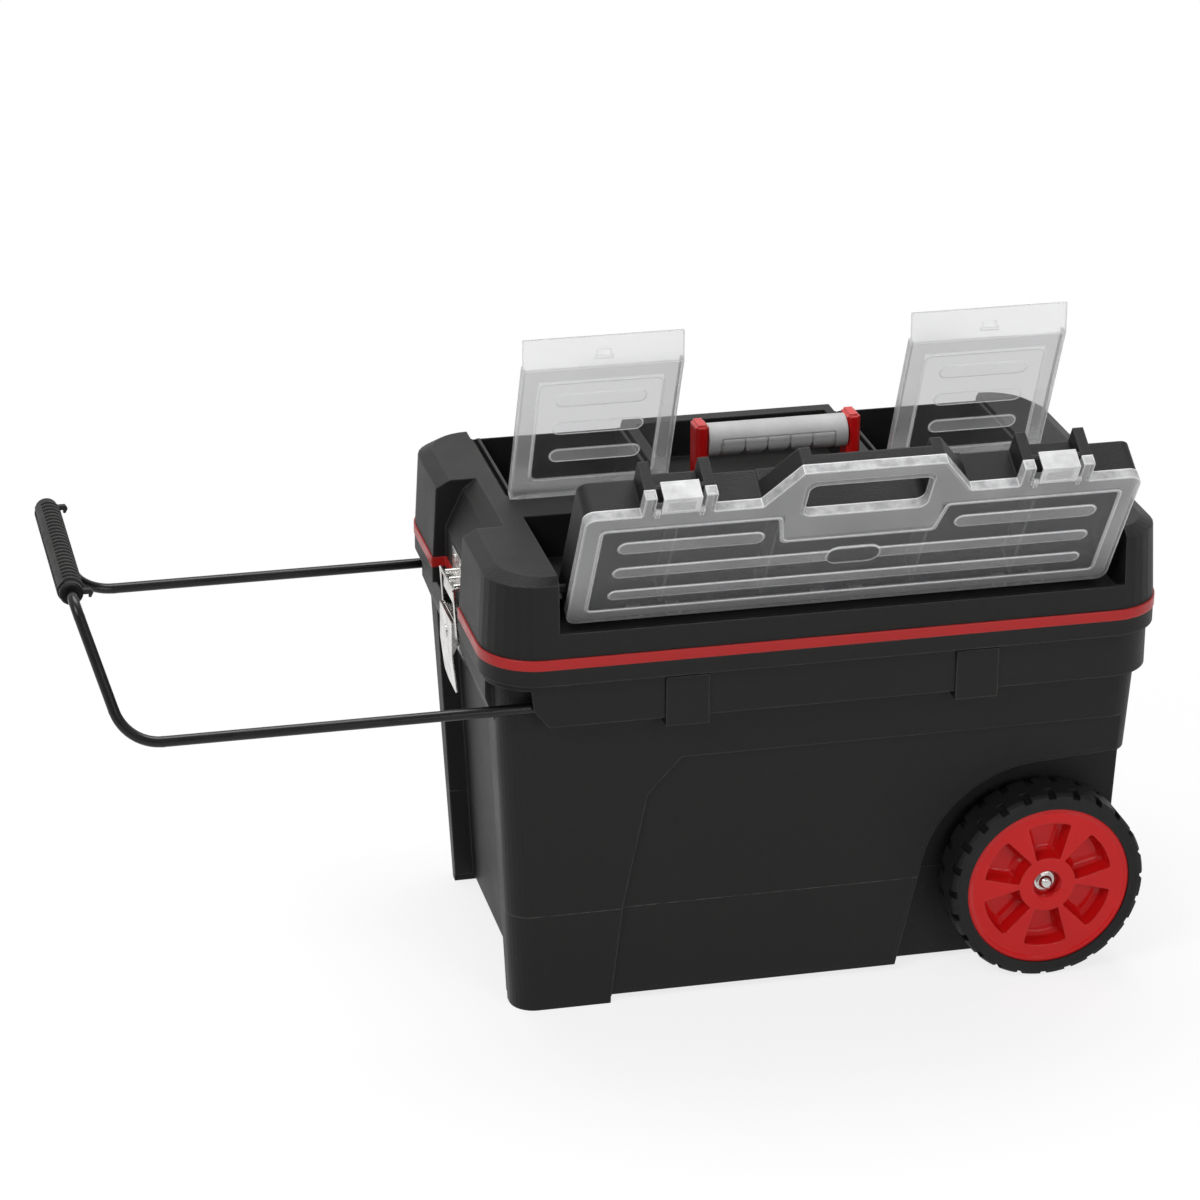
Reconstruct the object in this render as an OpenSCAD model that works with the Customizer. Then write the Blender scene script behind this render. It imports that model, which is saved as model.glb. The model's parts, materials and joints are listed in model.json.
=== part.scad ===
// Rolling toolbox: a wheeled tub with a sliding pull handle, a lid with two covered bins,
// a folding carry handle and an organizer case that tips up out of a pocket.
// Frame: X along the box with the pull handle at -X and the wheels at +X, -Y the front,
// Z up, origin on the floor under the middle of the box. Millimetres.

/* [Lid] */
// Length over the lid rim
rim_length = 610; // [580:1:660]
// Depth over the lid rim
rim_depth = 386; // [380:1:420]
// Corner radius of the lid rim
rim_radius = 50; // [40:1:60]
// Height of the lid from seam to top
lid_height = 98; // [94:1:110]
// Wall of the lid
lid_wall = 4; // [3:0.5:5]
// Width of the latch notch in the handle end
notch_width = 122; // [100:1:140]
// Depth of the latch notch at the rim
notch_depth = 13; // [10:1:18]
// Height of the red trim band
trim_height = 9.5; // [6:0.5:12]
// How far the trim band stands proud of the lid
trim_proud = 0.8; // [0.4:0.1:1.5]

/* [Tub] */
// Height of the seam between tub and lid above the floor
seam_height = 332; // [310:1:350]
// Wall of the tub
tub_wall = 4; // [3:0.5:5]
// Height of the rim band
band_height = 42; // [38:1:48]
// Skin of the rim band
band_skin = 3.5; // [2.5:0.5:4.5]
// How much the tub narrows along X from band to floor, each end
taper_x = 15; // [8:1:22]
// How much the tub narrows along Y from band to floor, each side
taper_y = 16; // [8:1:20]
// Width of the recess between the corner posts
post_gap = 236; // [180:1:270]
// Depth of the recess between the corner posts
post_depth = 18; // [8:1:20]
// Depth of the shallow panels on the long sides
panel_depth = 3; // [1:0.5:3.5]
// Height of the feet below the tub floor
foot_height = 7; // [4:1:12]

/* [Wheels] */
// Diameter of the tyre
wheel_diameter = 180; // [170:1:190]
// Width of the tyre
wheel_width = 46; // [40:1:50]
// Diameter of the red rim
wheel_rim_diameter = 152; // [140:1:156]
// Wheel centre along X
wheel_x = 208; // [200:1:214]
// Axle diameter
axle_diameter = 10; // [8:1:12]
// Pockets in each rim
rim_pockets = 6; // [5:1:7]
// Tread lugs on each shoulder
tread_lugs = 24; // [18:1:28]

/* [Pull handle] */
// Rod diameter
rod_diameter = 9.5; // [8:0.5:10]
// Drop of the rods below the seam
rod_drop = 26; // [23:1:29]
// How far the handle slides in
rod_travel = 285; // [200:5:290]
// Rise of the hoop above the rods
hoop_rise = 111; // [90:1:130]
// Lean of the hoop away from the box
hoop_lean = 33; // [10:1:50]
// Half the length of the cross bar
bar_half = 122; // [110:1:135]
// Grip diameter over the ribs
grip_diameter = 23; // [20:1:28]
// Ribs on the grip
grip_ribs = 24; // [16:1:28]

/* [Bins] */
// Width of a bin cover
cover_width = 143; // [130:1:146]
// Length of a bin cover from hinge to lip
cover_length = 156; // [150:1:158]
// Height of the cover lip
cover_lip = 28; // [20:1:30]
// Depth of the bins
bin_depth = 78; // [50:1:84]
// How far the bin covers stand open
cover_open = 113.4; // [100:0.2:120]
// Left edge of the left cover
cover_left_x = -246; // [-248:1:-243]
// Left edge of the right cover
cover_right_x = 102; // [98:1:106]

/* [Carry handle] */
// Length of the grip
carry_grip_length = 128; // [110:1:140]
// Diameter of the grip
carry_grip_diameter = 30; // [26:1:32]
// Height of the grip axis above the pivot
carry_reach = 56; // [50:1:66]
// Thickness of the arms
carry_arm = 12; // [10:1:15]

/* [Organizer] */
// Width of the case
case_width = 486; // [470:1:490]
// Height of the case without its handle
case_height = 147; // [140:1:148]
// Thickness of the closed case
case_depth = 40; // [36:1:42]
// How far the case stands open from lying flat
case_open = 122.4; // [100:0.2:125]
// Reach of the case handle beyond the case
case_handle = 42; // [34:1:44]
// Wall of the case base
case_wall = 2.5; // [2:0.5:3]
// Dividers on each side of the case
dividers_per_side = 2; // [1:1:4]

/* [Latch] */
// Width of the metal latch lever
lever_width = 54; // [44:1:60]
// Length of the lever below its pivot
lever_length = 70; // [50:1:74]
// Wire diameter of the bail
bail_wire = 2.5; // [2:0.5:3]

/* [Hidden] */
$fn = 64;
// Running clearance at a pin
run_gap = 0.05;
// Gap between pieces that move past each other
move_gap = 0.3;
// Overreach of a cutting shape
past = 1;

half_x = rim_length / 2;
half_y = rim_depth / 2;
lid_top = seam_height + lid_height;
band_bottom = seam_height - band_height;

// Tub walls: half sizes under the band and at the floor
tub_x = half_x - 14;
tub_y = half_y - 26;
tub_radius = 22;
band_x = half_x - 4;
band_y = half_y - 8.5;
band_radius = 45;
band_roof = 3.5;
lip_height = 6;
band_start = -266;
end_face = -half_x + 6;
end_drop = 26;
end_half = tub_y - tub_radius;
latch_pocket = 6;
floor_z = foot_height + tub_wall;

function tub_hx(z) = tub_x - taper_x * (band_bottom - z) / band_bottom;
function tub_hy(z) = tub_y - taper_y * (band_bottom - z) / band_bottom;

// Rods run inside the band, midway between the tub wall and the band skin
rod_r = rod_diameter / 2;
rod_height = seam_height - rod_drop;
rod_y = (tub_hy(rod_height) + band_y - band_skin) / 2;
glide_r = rod_r + 1.2;
glide_length = 12;
guide_width = 39;
guide_x = [-129, 132];
guide_drop = 7.5;
guide_proud = 2;
guide_inner = tub_hy(seam_height) + 0.2;
guide_bore = [rod_r + run_gap, glide_r + run_gap];
guide_screw_r = 3;
guide_screw_pitch = 26;
rod_end = guide_x[0] + guide_width / 2 + glide_length + move_gap;
hoop_x = -612;
hoop_bend = 40;
bar_bend = 20;
bar_x = hoop_x - hoop_lean;
bar_z = rod_height + hoop_rise;

// Wheels
wheel_r = wheel_diameter / 2;
wheel_face = half_y - 6;
well_y = wheel_face - wheel_width - 7;
well_r = wheel_r + 22;
axle_r = axle_diameter / 2;
hub_in = 3.5;
hub_out = 15;
hub_hole = axle_r + 7;
axle_stub = 5;

// Lid hinge at the wheel end
hinge_r = 5.5;
hinge_x = half_x + 4.5;
hinge_z = seam_height;
hinge_pin_r = 2.5;
hinge_y = [-70, 70];
hinge_width = 44;

// Lid profile: wall, chamfer and top
wall_top = lid_top - 7;
wall_draft = 4;
chamfer_x = 17;
chamfer_y = 11;
trim_bottom = seam_height + 15.5;
trim_seat = 2.2;
notch_x = -half_x + notch_depth;
notch_bend = seam_height + 54;

// Bins and their covers
cover_hinge_y = 8;
cover_bend = 23.4;
cover_hinge_z = lid_top - 2.4;
cover_barrel = 3.4;
cover_plate = 2.2;
cover_rise = lid_top + 0.4 - cover_hinge_z;
cover_drop = cover_rise - 1.2;
cover_flange = 5;
cover_pin_r = 1.5;
cover_start = 4.5;
bin_rim = 6;
cover_x = [cover_left_x, cover_right_x];
bin_back = half_y - 20;
bin_floor = lid_top - bin_depth;

// Carry handle
carry_y = 12;
carry_z = lid_top - 18;
carry_pin_r = 3.5;
carry_outer = carry_grip_length / 2 + carry_arm;
carry_core = 7;
recess_half = carry_outer + 15.5;
recess_floor = carry_z - carry_grip_diameter / 2 - 3;
recess_back = 168;

// Organizer: local frame with x along the case, y from hinge edge to handle, z out of the cover
case_x = 10 - case_width / 2;
pivot_s = 28;
pivot_n = 18.5;
pivot_y = -half_y + 28;
pivot_z = lid_top - 1 - pivot_n;
pivot_pin_r = 4;
case_gap = 10;
cover_skin = 2.5;
cover_wall = 2;
cover_side = 10;
case_corner = 10;
case_hinge_n = -cover_side - 1;
case_hinge_r = 4;
case_pin_r = 1.5;
case_hinge_width = 46;
case_hinges = [79, case_width / 2, case_width - 79];
boss_from = 48;
boss_to = 110;
boss_rise = 24;
slot_from = 58;
slot_to = 100;
slot_rise = 5;
handle_root = 91;
handle_tip = 62;
hole_half = 54;
hole_low = case_height - 18;
hole_high = case_height + 24;
hole_wall = 10;
pocket_floor = pivot_z + pivot_n - case_depth - 0.5;
pocket_front = pivot_z - norm([pivot_s, case_depth - pivot_n]) - 5;
pocket_edge = -half_y + lid_wall + 2;
pocket_lip = 9;
pocket_step = pivot_y + pivot_s + 2;
flap_pivot_s = case_height + slot_rise + 2.7;
flap_pivot_n = 1.4;
flap_pin_r = 1.25;
flap_ear = 4;
catch_top = case_height + boss_rise + 0.4;

// Raised outline on the organizer's cover
outline_in = 15;
outline_top = 131;
outline_step = 97;
outline_wide = 72;
outline_narrow = 66;

// Shallow panels on the tub's long sides
panel_foot = 188;
panel_knee = 178;
panel_knee_z = 100;
panel_start = 128;
panel_round = 34;
panel_drop = 48;

// Metal latch on the handle end
latch_x = end_face + latch_pocket - 7.5;
latch_z = seam_height - 6;
bail_drop = 12;
lever_pin_r = 1.5;
rivet_y = [-12, 12];
rivet_z = [-27, -11];
plate = 1.5;
bail_x = latch_x - 3;
bail_reach = 28;
bail_top = seam_height + bail_reach;
bail_y = lever_width / 2 + bail_wire / 2 + 0.4;

black = [0.09, 0.09, 0.09];
red = [0.72, 0.14, 0.12];
grey = [0.62, 0.62, 0.62];
clear = [0.85, 0.88, 0.9, 0.5];
steel = [0.78, 0.78, 0.8];

// General shapes

// Rounded rectangle about the origin, from half sizes and corner radius
module plate_2d(hx, hy, r) {
    square([2 * hx, 2 * (hy - r)], center = true);
    square([2 * (hx - r), 2 * hy], center = true);
    for (sx = [-1, 1], sy = [-1, 1])
        translate([sx * (hx - r), sy * (hy - r)])
            circle(r);
}

module slab(z, hx, hy, r) {
    translate([0, 0, z])
        linear_extrude(0.01)
            plate_2d(hx, hy, r, $fn = 32);
}

// Box from its lowest to its highest corner
module box(a, b) {
    translate(a)
        cube(b - a);
}

// Round bar along X, along Y
module bar_x(x0, x1, y, z, r) {
    translate([x0, y, z])
        rotate([0, 90, 0])
            cylinder(r = r, h = x1 - x0);
}

module bar_y(y0, y1, x, z, r) {
    translate([x, y0, z])
        rotate([-90, 0, 0])
            cylinder(r = r, h = y1 - y0);
}

// Bar with round ends seen from above, between two points on a line along X
module pill(x0, x1, y, r, h) {
    linear_extrude(h) {
        translate([x0 + r, y - r])
            square([x1 - x0 - 2 * r, 2 * r]);
        for (x = [x0 + r, x1 - r])
            translate([x, y])
                circle(r, $fn = 32);
    }
}

function unit(v) = v / norm(v);

// Round bar between two points
module strut(a, b, r) {
    d = b - a;
    translate(a)
        rotate([0, acos(d.z / norm(d)), atan2(d.y, d.x)])
            cylinder(r = r, h = norm(d));
}

// Quarter bend between the two straight runs that meet at b
module bend(a, b, c, bend_r, r) {
    u = unit(a - b);
    v = unit(c - b);
    half = acos(u * v) / 2;
    middle = b + unit(u + v) * bend_r / sin(half);
    x = unit(b + u * bend_r / tan(half) - middle);
    z = unit(cross(u, v)) * -1;
    y = cross(z, x);
    multmatrix([
        [x.x, y.x, z.x, middle.x],
        [x.y, y.y, z.y, middle.y],
        [x.z, y.z, z.z, middle.z],
        [0, 0, 0, 1]])
        rotate_extrude(angle = 180 - 2 * half)
            translate([bend_r, 0])
                circle(r);
}

function trim(bend_r, a, b, c) = bend_r / tan(acos(unit(a - b) * unit(c - b)) / 2);

// Tub

module tub_block(inset, z0, z1) {
    hull() {
        slab(z0, tub_hx(z0) - inset, tub_hy(z0) - inset, tub_radius - inset);
        slab(z1 - 0.01, tub_hx(z1) - inset, tub_hy(z1) - inset, tub_radius - inset);
    }
}

// Side outline of a wheel well, grown by a wall
module well_2d(grow) {
    translate([wheel_x, wheel_r])
        circle(well_r + grow);
    foot = wheel_x - well_r - 20 - grow;
    polygon([
        [foot, -past], [wheel_x - well_r - grow, wheel_r + 10],
        [wheel_x, wheel_r + well_r + grow], [half_x, wheel_r + well_r + 6 + grow],
        [half_x, -past]]);
}

module wells(grow) {
    for (side = [-1, 1])
        translate([0, side > 0 ? well_y - grow : -well_y + grow, 0])
            rotate([90, 0, 0])
                translate([0, 0, side > 0 ? -half_y : 0])
                    linear_extrude(half_y)
                        well_2d(grow);
}

// Shallow panels on the long sides, from the corner post to the wheel well
module side_panels() {
    lean = atan(taper_y / band_bottom);
    top = band_bottom - panel_drop;
    for (side = [-1, 1])
        translate([0, side * tub_hy(0), 0])
            rotate([side * -lean, 0, 0])
                translate([0, side * (10 - panel_depth), 0])
                    rotate([90, 0, 0])
                        linear_extrude(20, center = true)
                            difference() {
                                polygon([
                                    [-panel_foot, -past], [-panel_knee, panel_knee_z],
                                    [-panel_start - panel_round + 4, top - panel_round],
                                    [-panel_start, top],
                                    [half_x, top], [half_x, -past]]);
                                translate([-panel_start, top - panel_round])
                                    difference() {
                                        translate([-panel_round - 6, 0])
                                            square(panel_round + 6);
                                        circle(panel_round);
                                    }
                            }
}

// Recess between the corner posts on the handle end
module post_recess() {
    lean = atan(taper_x / band_bottom);
    translate([-tub_hx(0), 0, 0])
        rotate([0, -lean, 0])
            box([-20, -post_gap / 2, -past], [post_depth, post_gap / 2, band_bottom - 8]);
}

module tub_cavity() {
    difference() {
        tub_block(tub_wall, floor_z, seam_height + lip_height + past);
        wells(tub_wall);
        bar_y(-half_y, half_y, wheel_x, wheel_r, axle_r + tub_wall);
        lean = atan(taper_x / band_bottom);
        translate([-tub_hx(0), 0, 0])
            rotate([0, -lean, 0])
                box([-20, -post_gap / 2 - tub_wall, -past],
                    [post_depth + tub_wall, post_gap / 2 + tub_wall, seam_height]);
    }
}

module rim_band() {
    translate([0, 0, band_bottom])
        difference() {
            linear_extrude(band_height)
                plate_2d(band_x, band_y, band_radius);
            translate([0, 0, -past])
                linear_extrude(band_height - band_roof + past)
                    plate_2d(band_x - band_skin, band_y - band_skin, band_radius - band_skin);
            // Open at the handle end, where the rods go in
            translate([0, -half_y, 0])
                rotate([-90, 0, 0])
                    linear_extrude(2 * half_y)
                        polygon([
                            [-half_x, past], [band_start + 16, past], [band_start + 2, -16],
                            [band_start, -band_height + band_roof * 2],
                            [-half_x, -band_height + band_roof * 2]]);
        }
    translate([0, 0, seam_height - band_roof])
        linear_extrude(band_roof + lip_height)
            plate_2d(tub_hx(seam_height), tub_hy(seam_height), tub_radius);
    // Flare under the rim at the handle end
    translate([0, end_half, 0])
        rotate([90, 0, 0])
            linear_extrude(2 * end_half)
                polygon([
                    [-tub_hx(band_bottom) + post_depth + 1, band_bottom - 8],
                    [-tub_hx(band_bottom) + 1, band_bottom - 8],
                    [end_face, seam_height - end_drop], [end_face, seam_height - band_roof],
                    [-tub_hx(band_bottom) + post_depth + 1, seam_height - band_roof]]);
}

// Windows in the band for the guides and holes for the rods
module band_openings() {
    for (side = [-1, 1]) {
        for (x = guide_x)
            translate([x, side * band_y, seam_height - band_roof])
                box([-guide_width / 2, -band_skin - past, -band_height],
                    [guide_width / 2, band_skin + past, 0]);
        for (x = guide_x, dx = [-1, 1])
            bar_y(side > 0 ? 0 : -band_y, side > 0 ? band_y : 0,
                x + dx * guide_screw_pitch / 2, seam_height - 12, guide_screw_r / 2);
    }
}

// Barrel parts that lie on one side of the split between tub and lid
module hinge_lugs(from_y, to_y, web_x, web_z0, web_z1) {
    difference() {
        union() {
            bar_y(from_y, to_y, hinge_x, hinge_z, hinge_r);
            box([web_x, from_y, web_z0], [hinge_x, to_y, web_z1]);
        }
        bar_y(from_y - past, to_y + past, hinge_x, hinge_z, hinge_pin_r);
    }
}

module tub() {
    color(black)
        difference() {
            union() {
                difference() {
                    union() {
                        tub_block(0, 0, seam_height - band_roof);
                        rim_band();
                    }
                    tub_cavity();
                    post_recess();
                    side_panels();
                    wells(0);
                    box([tub_hx(0) * -0.68, -half_y, -past], [half_x, half_y, foot_height]);
                    box([-half_x, -post_gap / 2 - 3, -past], [half_x, post_gap / 2 + 3, foot_height]);
                    band_openings();
                    // Flat seat for the latch
                    box([-half_x, -lever_width / 2 - 6, band_bottom - 10],
                        [end_face + latch_pocket, lever_width / 2 + 6, seam_height + past]);
                }
                for (y = hinge_y, dy = [-1, 1])
                    hinge_lugs(y + dy * hinge_width / 3 - hinge_width / 6 + move_gap,
                        y + dy * hinge_width / 3 + hinge_width / 6 - move_gap,
                        band_x - 2, hinge_z - hinge_r, hinge_z - move_gap);
            }
            bar_y(-half_y, half_y, wheel_x, wheel_r, axle_r);
            // Gap in the lip for the lid's latch notch
            box([-half_x, -notch_width / 2 - lid_wall - 1, seam_height],
                [notch_x + lid_wall + 1, notch_width / 2 + lid_wall + 1,
                 seam_height + lip_height + past]);
        }
}

module rod_guide(index, side) {
    color(black)
        difference() {
            translate([guide_x[index], 0, seam_height - band_roof])
                scale([1, side, 1])
                    box([-guide_width / 2 + 0.2, guide_inner, -band_height + band_roof - guide_drop],
                        [guide_width / 2 - 0.2, band_y + guide_proud, 0]);
            bar_x(guide_x[index] - guide_width, guide_x[index] + guide_width,
                side * rod_y, rod_height, guide_bore[index]);
            for (dx = [-1, 1])
                bar_y(side > 0 ? 0 : -rod_y, side > 0 ? rod_y : 0,
                    guide_x[index] + dx * guide_screw_pitch / 2, seam_height - 12,
                    guide_screw_r / 2);
        }
}

module rod_guide_front_left() { rod_guide(0, -1); }
module rod_guide_front_right() { rod_guide(1, -1); }
module rod_guide_rear_left() { rod_guide(0, 1); }
module rod_guide_rear_right() { rod_guide(1, 1); }

module rod_guide_screws() {
    inner = tub_hy(seam_height - 12) - tub_wall - 0.25;
    color(steel)
        for (side = [-1, 1], x = guide_x, dx = [-1, 1])
            translate([x + dx * guide_screw_pitch / 2, side * inner, seam_height - 12])
                rotate([side * 90, 0, 0]) {
                    cylinder(r = guide_screw_r, h = 2);
                    translate([0, 0, -tub_wall - 4])
                        cylinder(r = guide_screw_r / 2, h = tub_wall + 4);
                }
}

// Wheels and axle

module axle() {
    color(steel)
        bar_y(-wheel_face + hub_out - axle_stub, wheel_face - hub_out + axle_stub, wheel_x, wheel_r,
            axle_r);
}

module axle_washers() {
    color(steel)
        for (side = [-1, 1])
            translate([wheel_x, side * well_y, wheel_r])
                rotate([side * -90, 0, 0])
                    difference() {
                        cylinder(r = axle_r + 7, h = 7 - hub_in - move_gap);
                        translate([0, 0, -past])
                            cylinder(r = axle_r, h = 10);
                    }
}

module axle_nuts() {
    color(steel)
        for (side = [-1, 1])
            translate([wheel_x, side * (wheel_face - hub_out + move_gap), wheel_r])
                rotate([side * -90, 0, 0])
                    difference() {
                        union() {
                            cylinder(r = axle_r + 4.5, h = 1.4);
                            cylinder(r = axle_r + 3, h = axle_stub - 0.6, $fn = 6);
                            // Domed end of the cap nut
                            translate([0, 0, axle_stub - 1.4])
                                rotate_extrude()
                                    intersection() {
                                        circle(axle_r + 1.4);
                                        square([axle_r + 3, axle_r + 0.2]);
                                    }
                        }
                        translate([0, 0, -past])
                            cylinder(r = axle_r, h = axle_stub + past);
                    }
}

// Points of an outline with each corner rounded by an arc
function corner_arc(a, b, c, r, steps = 4) =
    let (u = unit(a - b), v = unit(c - b), half = acos(u * v) / 2,
         m = b + unit(u + v) * r / sin(half), p = b + u * r / tan(half) - m,
         turn = (cross(u, v) > 0 ? -1 : 1) * (180 - 2 * half))
    [for (k = [0:steps])
        let (t = turn * k / steps)
        m + [p.x * cos(t) - p.y * sin(t), p.x * sin(t) + p.y * cos(t)]];

function rounded(pts, r) =
    [for (k = [0:len(pts) - 1])
        each corner_arc(pts[(k + len(pts) - 1) % len(pts)], pts[k], pts[(k + 1) % len(pts)], r)];

function polar(r, t) = [r * cos(t), r * sin(t)];

// Rim in its own frame: axis Z, outer face at z = 0, the box at +z
module wheel_rim(side) {
    r = wheel_rim_diameter / 2;
    inner = r * 0.35;
    outer = r * 0.8;
    spread = 360 / rim_pockets;
    back = wheel_width + hub_in;
    color(red)
        translate([wheel_x, side * wheel_face, wheel_r])
            rotate([side * 90, 0, 0])
                difference() {
                    rotate_extrude()
                        polygon([
                            [axle_r + run_gap, hub_out], [hub_hole, hub_out], [hub_hole + 1, 5],
                            [hub_hole + 2.5, 4], [r * 0.93, 4], [r * 0.96, 2.5], [r, 2.5],
                            [r, wheel_width - 2],
                            [r * 0.9, wheel_width - 2], [r * 0.88, hub_out + 3],
                            [r * 0.27, hub_out + 3], [r * 0.23, back], [axle_r + run_gap, back]]);
                    for (k = [0:rim_pockets - 1])
                        rotate(k * spread)
                            translate([0, 0, -past])
                                linear_extrude(hub_out + past - 1)
                                    polygon(rounded([
                                        polar(inner, -spread * 0.33), polar(outer, -spread * 0.3),
                                        polar(outer * 1.04, 0), polar(outer, spread * 0.3),
                                        polar(inner, spread * 0.33)], 4));
                }
}

module wheel_tyre(side) {
    r0 = wheel_rim_diameter / 2;
    r1 = wheel_r;
    w = wheel_width;
    pitch = 360 / tread_lugs;
    groove = 2 * PI * r1 / tread_lugs * 0.3;
    color(black)
        translate([wheel_x, side * wheel_face, wheel_r])
            rotate([side * 90, 0, 0])
                difference() {
                    rotate_extrude()
                        polygon([
                            [r0, 0.5], [r1 - 6, 0], [r1 - 2, 1.5], [r1, 5], [r1, w - 5],
                            [r1 - 2, w - 1.5], [r1 - 6, w], [r0, w - 0.5]]);
                    for (k = [0:tread_lugs - 1]) {
                        rotate(k * pitch)
                            box([r1 - 4, -groove / 2, -past], [r1 + past, groove / 2, w * 0.36]);
                        rotate((k + 0.5) * pitch)
                            box([r1 - 4, -groove / 2, w * 0.64], [r1 + past, groove / 2, w + past]);
                    }
                }
}

module wheel_front_rim() { wheel_rim(-1); }
module wheel_front_tyre() { wheel_tyre(-1); }
module wheel_rear_rim() { wheel_rim(1); }
module wheel_rear_tyre() { wheel_tyre(1); }

// Pull handle

module pull_handle_hoop() {
    color(black)
        for (side = [-1, 1]) {
            tip = [rod_end, side * rod_y, rod_height];
            low = [hoop_x, side * rod_y, rod_height];
            high = [bar_x, side * bar_half, bar_z];
            centre = [bar_x, 0, bar_z];
            t0 = trim(hoop_bend, tip, low, high);
            t1 = trim(bar_bend, low, high, centre);
            ends = [
                [low + unit(tip - low) * t0, tip - low], [low + unit(high - low) * t0, high - low],
                [high + unit(low - high) * t1, low - high],
                [high + unit(centre - high) * t1, centre - high]];
            strut(ends[0][0] + unit(tip - low) * 0.3, tip, rod_r);
            bend(tip, low, high, hoop_bend, rod_r);
            strut(ends[1][0] + unit(high - low) * 0.3, ends[2][0] - unit(high - low) * 0.3, rod_r);
            bend(low, high, centre, bar_bend, rod_r);
            strut(ends[3][0] + unit(centre - high) * 0.3, centre + unit(centre - high), rod_r);
            // Weld rings where the bends meet the straight runs
            for (end = ends)
                strut(end[0] - unit(end[1]) * 1.5, end[0] + unit(end[1]) * 1.5, rod_r + 0.1);
        }
}

module pull_handle_grip() {
    r = grip_diameter / 2;
    half = bar_half - bar_bend + 2;
    collar = 9;
    pitch = 2 * (half - collar) / grip_ribs;
    ribs = [for (k = [0:grip_ribs - 1])
        let (y = -half + collar + k * pitch)
        each [[r - 2.2, y + pitch * 0.1], [r, y + pitch * 0.25], [r, y + pitch * 0.65],
              [r - 2.2, y + pitch * 0.8]]];
    color(black)
        translate([bar_x, 0, bar_z])
            rotate([-90, 0, 0]) {
                rotate_extrude()
                    polygon(concat(
                        [[rod_r, -half], [r - 3, -half], [r - 1.4, -half + 2],
                         [r - 1.4, -half + collar - 1]],
                        ribs,
                        [[r - 1.4, half - collar + 1], [r - 1.4, half - 2], [r - 3, half],
                         [rod_r, half]]));
                // Smooth spine down the middle of the ribs
                difference() {
                    rotate([0, 0, 200])
                        rotate_extrude(angle = 40)
                            translate([r - 2.4, -half + collar - 1])
                                square([2.4, 2 * (half - collar + 1)]);
                }
                // Small hooks at both ends, on the side of the box
                for (y = [-half + 1, half - 6])
                    translate([0, 0, y])
                        linear_extrude(5)
                            polygon([[r - 2.5, -3], [r + 5, -3], [r + 7, 0], [r + 5, 4],
                                     [r + 3, 4], [r + 3.5, 1], [r - 2.5, 1]]);
            }
}

module rod_end_glides() {
    color(black)
        for (side = [-1, 1])
            difference() {
                bar_x(rod_end - glide_length, rod_end + 2, side * rod_y, rod_height, glide_r);
                bar_x(rod_end - glide_length - past, rod_end, side * rod_y, rod_height, rod_r);
            }
}

// Lid

// Lid outline with the latch notch, grown by d
module lid_2d(d) {
    difference() {
        plate_2d(half_x + d, half_y + d, rim_radius + d);
        translate([-half_x - 20, -notch_width / 2 + d])
            square([notch_depth + 20 - d, notch_width - 2 * d]);
    }
}

module lid_outer() {
    translate([0, 0, seam_height + move_gap])
        linear_extrude(trim_bottom - seam_height)
            plate_2d(half_x, half_y, rim_radius);
    hull() {
        slab(trim_bottom, half_x, half_y, rim_radius);
        slab(wall_top, half_x - wall_draft, half_y - wall_draft, rim_radius - wall_draft);
    }
    hull() {
        slab(wall_top, half_x - wall_draft, half_y - wall_draft, rim_radius - wall_draft);
        slab(lid_top - 0.01, half_x - chamfer_x, half_y - chamfer_y, rim_radius - 10);
    }
}

module lid_cavity() {
    low = seam_height - past;
    shoulder = wall_top - 3;
    inset = wall_draft + lid_wall;
    hull() {
        slab(low, half_x - lid_wall, half_y - lid_wall, rim_radius - lid_wall);
        slab(shoulder, half_x - inset, half_y - inset, rim_radius - inset);
    }
    hull() {
        slab(shoulder, half_x - inset, half_y - inset, rim_radius - inset);
        slab(lid_top - lid_wall, half_x - chamfer_x - 2, half_y - chamfer_y - 4, rim_radius - 12);
    }
}

// Notch for the latch: upright at the rim, leaning back to the top
module notch(grow) {
    half = notch_width / 2 + grow;
    translate([0, half, 0])
        rotate([90, 0, 0])
            linear_extrude(2 * half)
                polygon([
                    [-half_x - 20, seam_height - past], [notch_x + grow, seam_height - past],
                    [notch_x + grow, notch_bend], [notch_x + 16 + grow, lid_top - 10],
                    [notch_x + 30 + grow, lid_top + 1], [-half_x - 20, lid_top + 1]]);
}

// Space of one bin, grown by a wall
module bin(x, grow) {
    box([x + bin_rim - grow, cover_hinge_y + 6 - grow, bin_floor - grow],
        [x + cover_width - bin_rim + grow, bin_back - bin_rim / 2 + grow, lid_top + past]);
}

// Recess that the carry handle folds into
module carry_recess(grow) {
    box([-recess_half - grow, carry_y - 20 - grow, recess_floor - grow],
        [recess_half + grow, recess_back + grow, lid_top + past]);
    for (side = [-1, 1])
        bar_x(side > 0 ? 0 : -recess_half - grow, side > 0 ? recess_half + grow : 0,
            carry_y, carry_z, 13 + grow);
}

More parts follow.
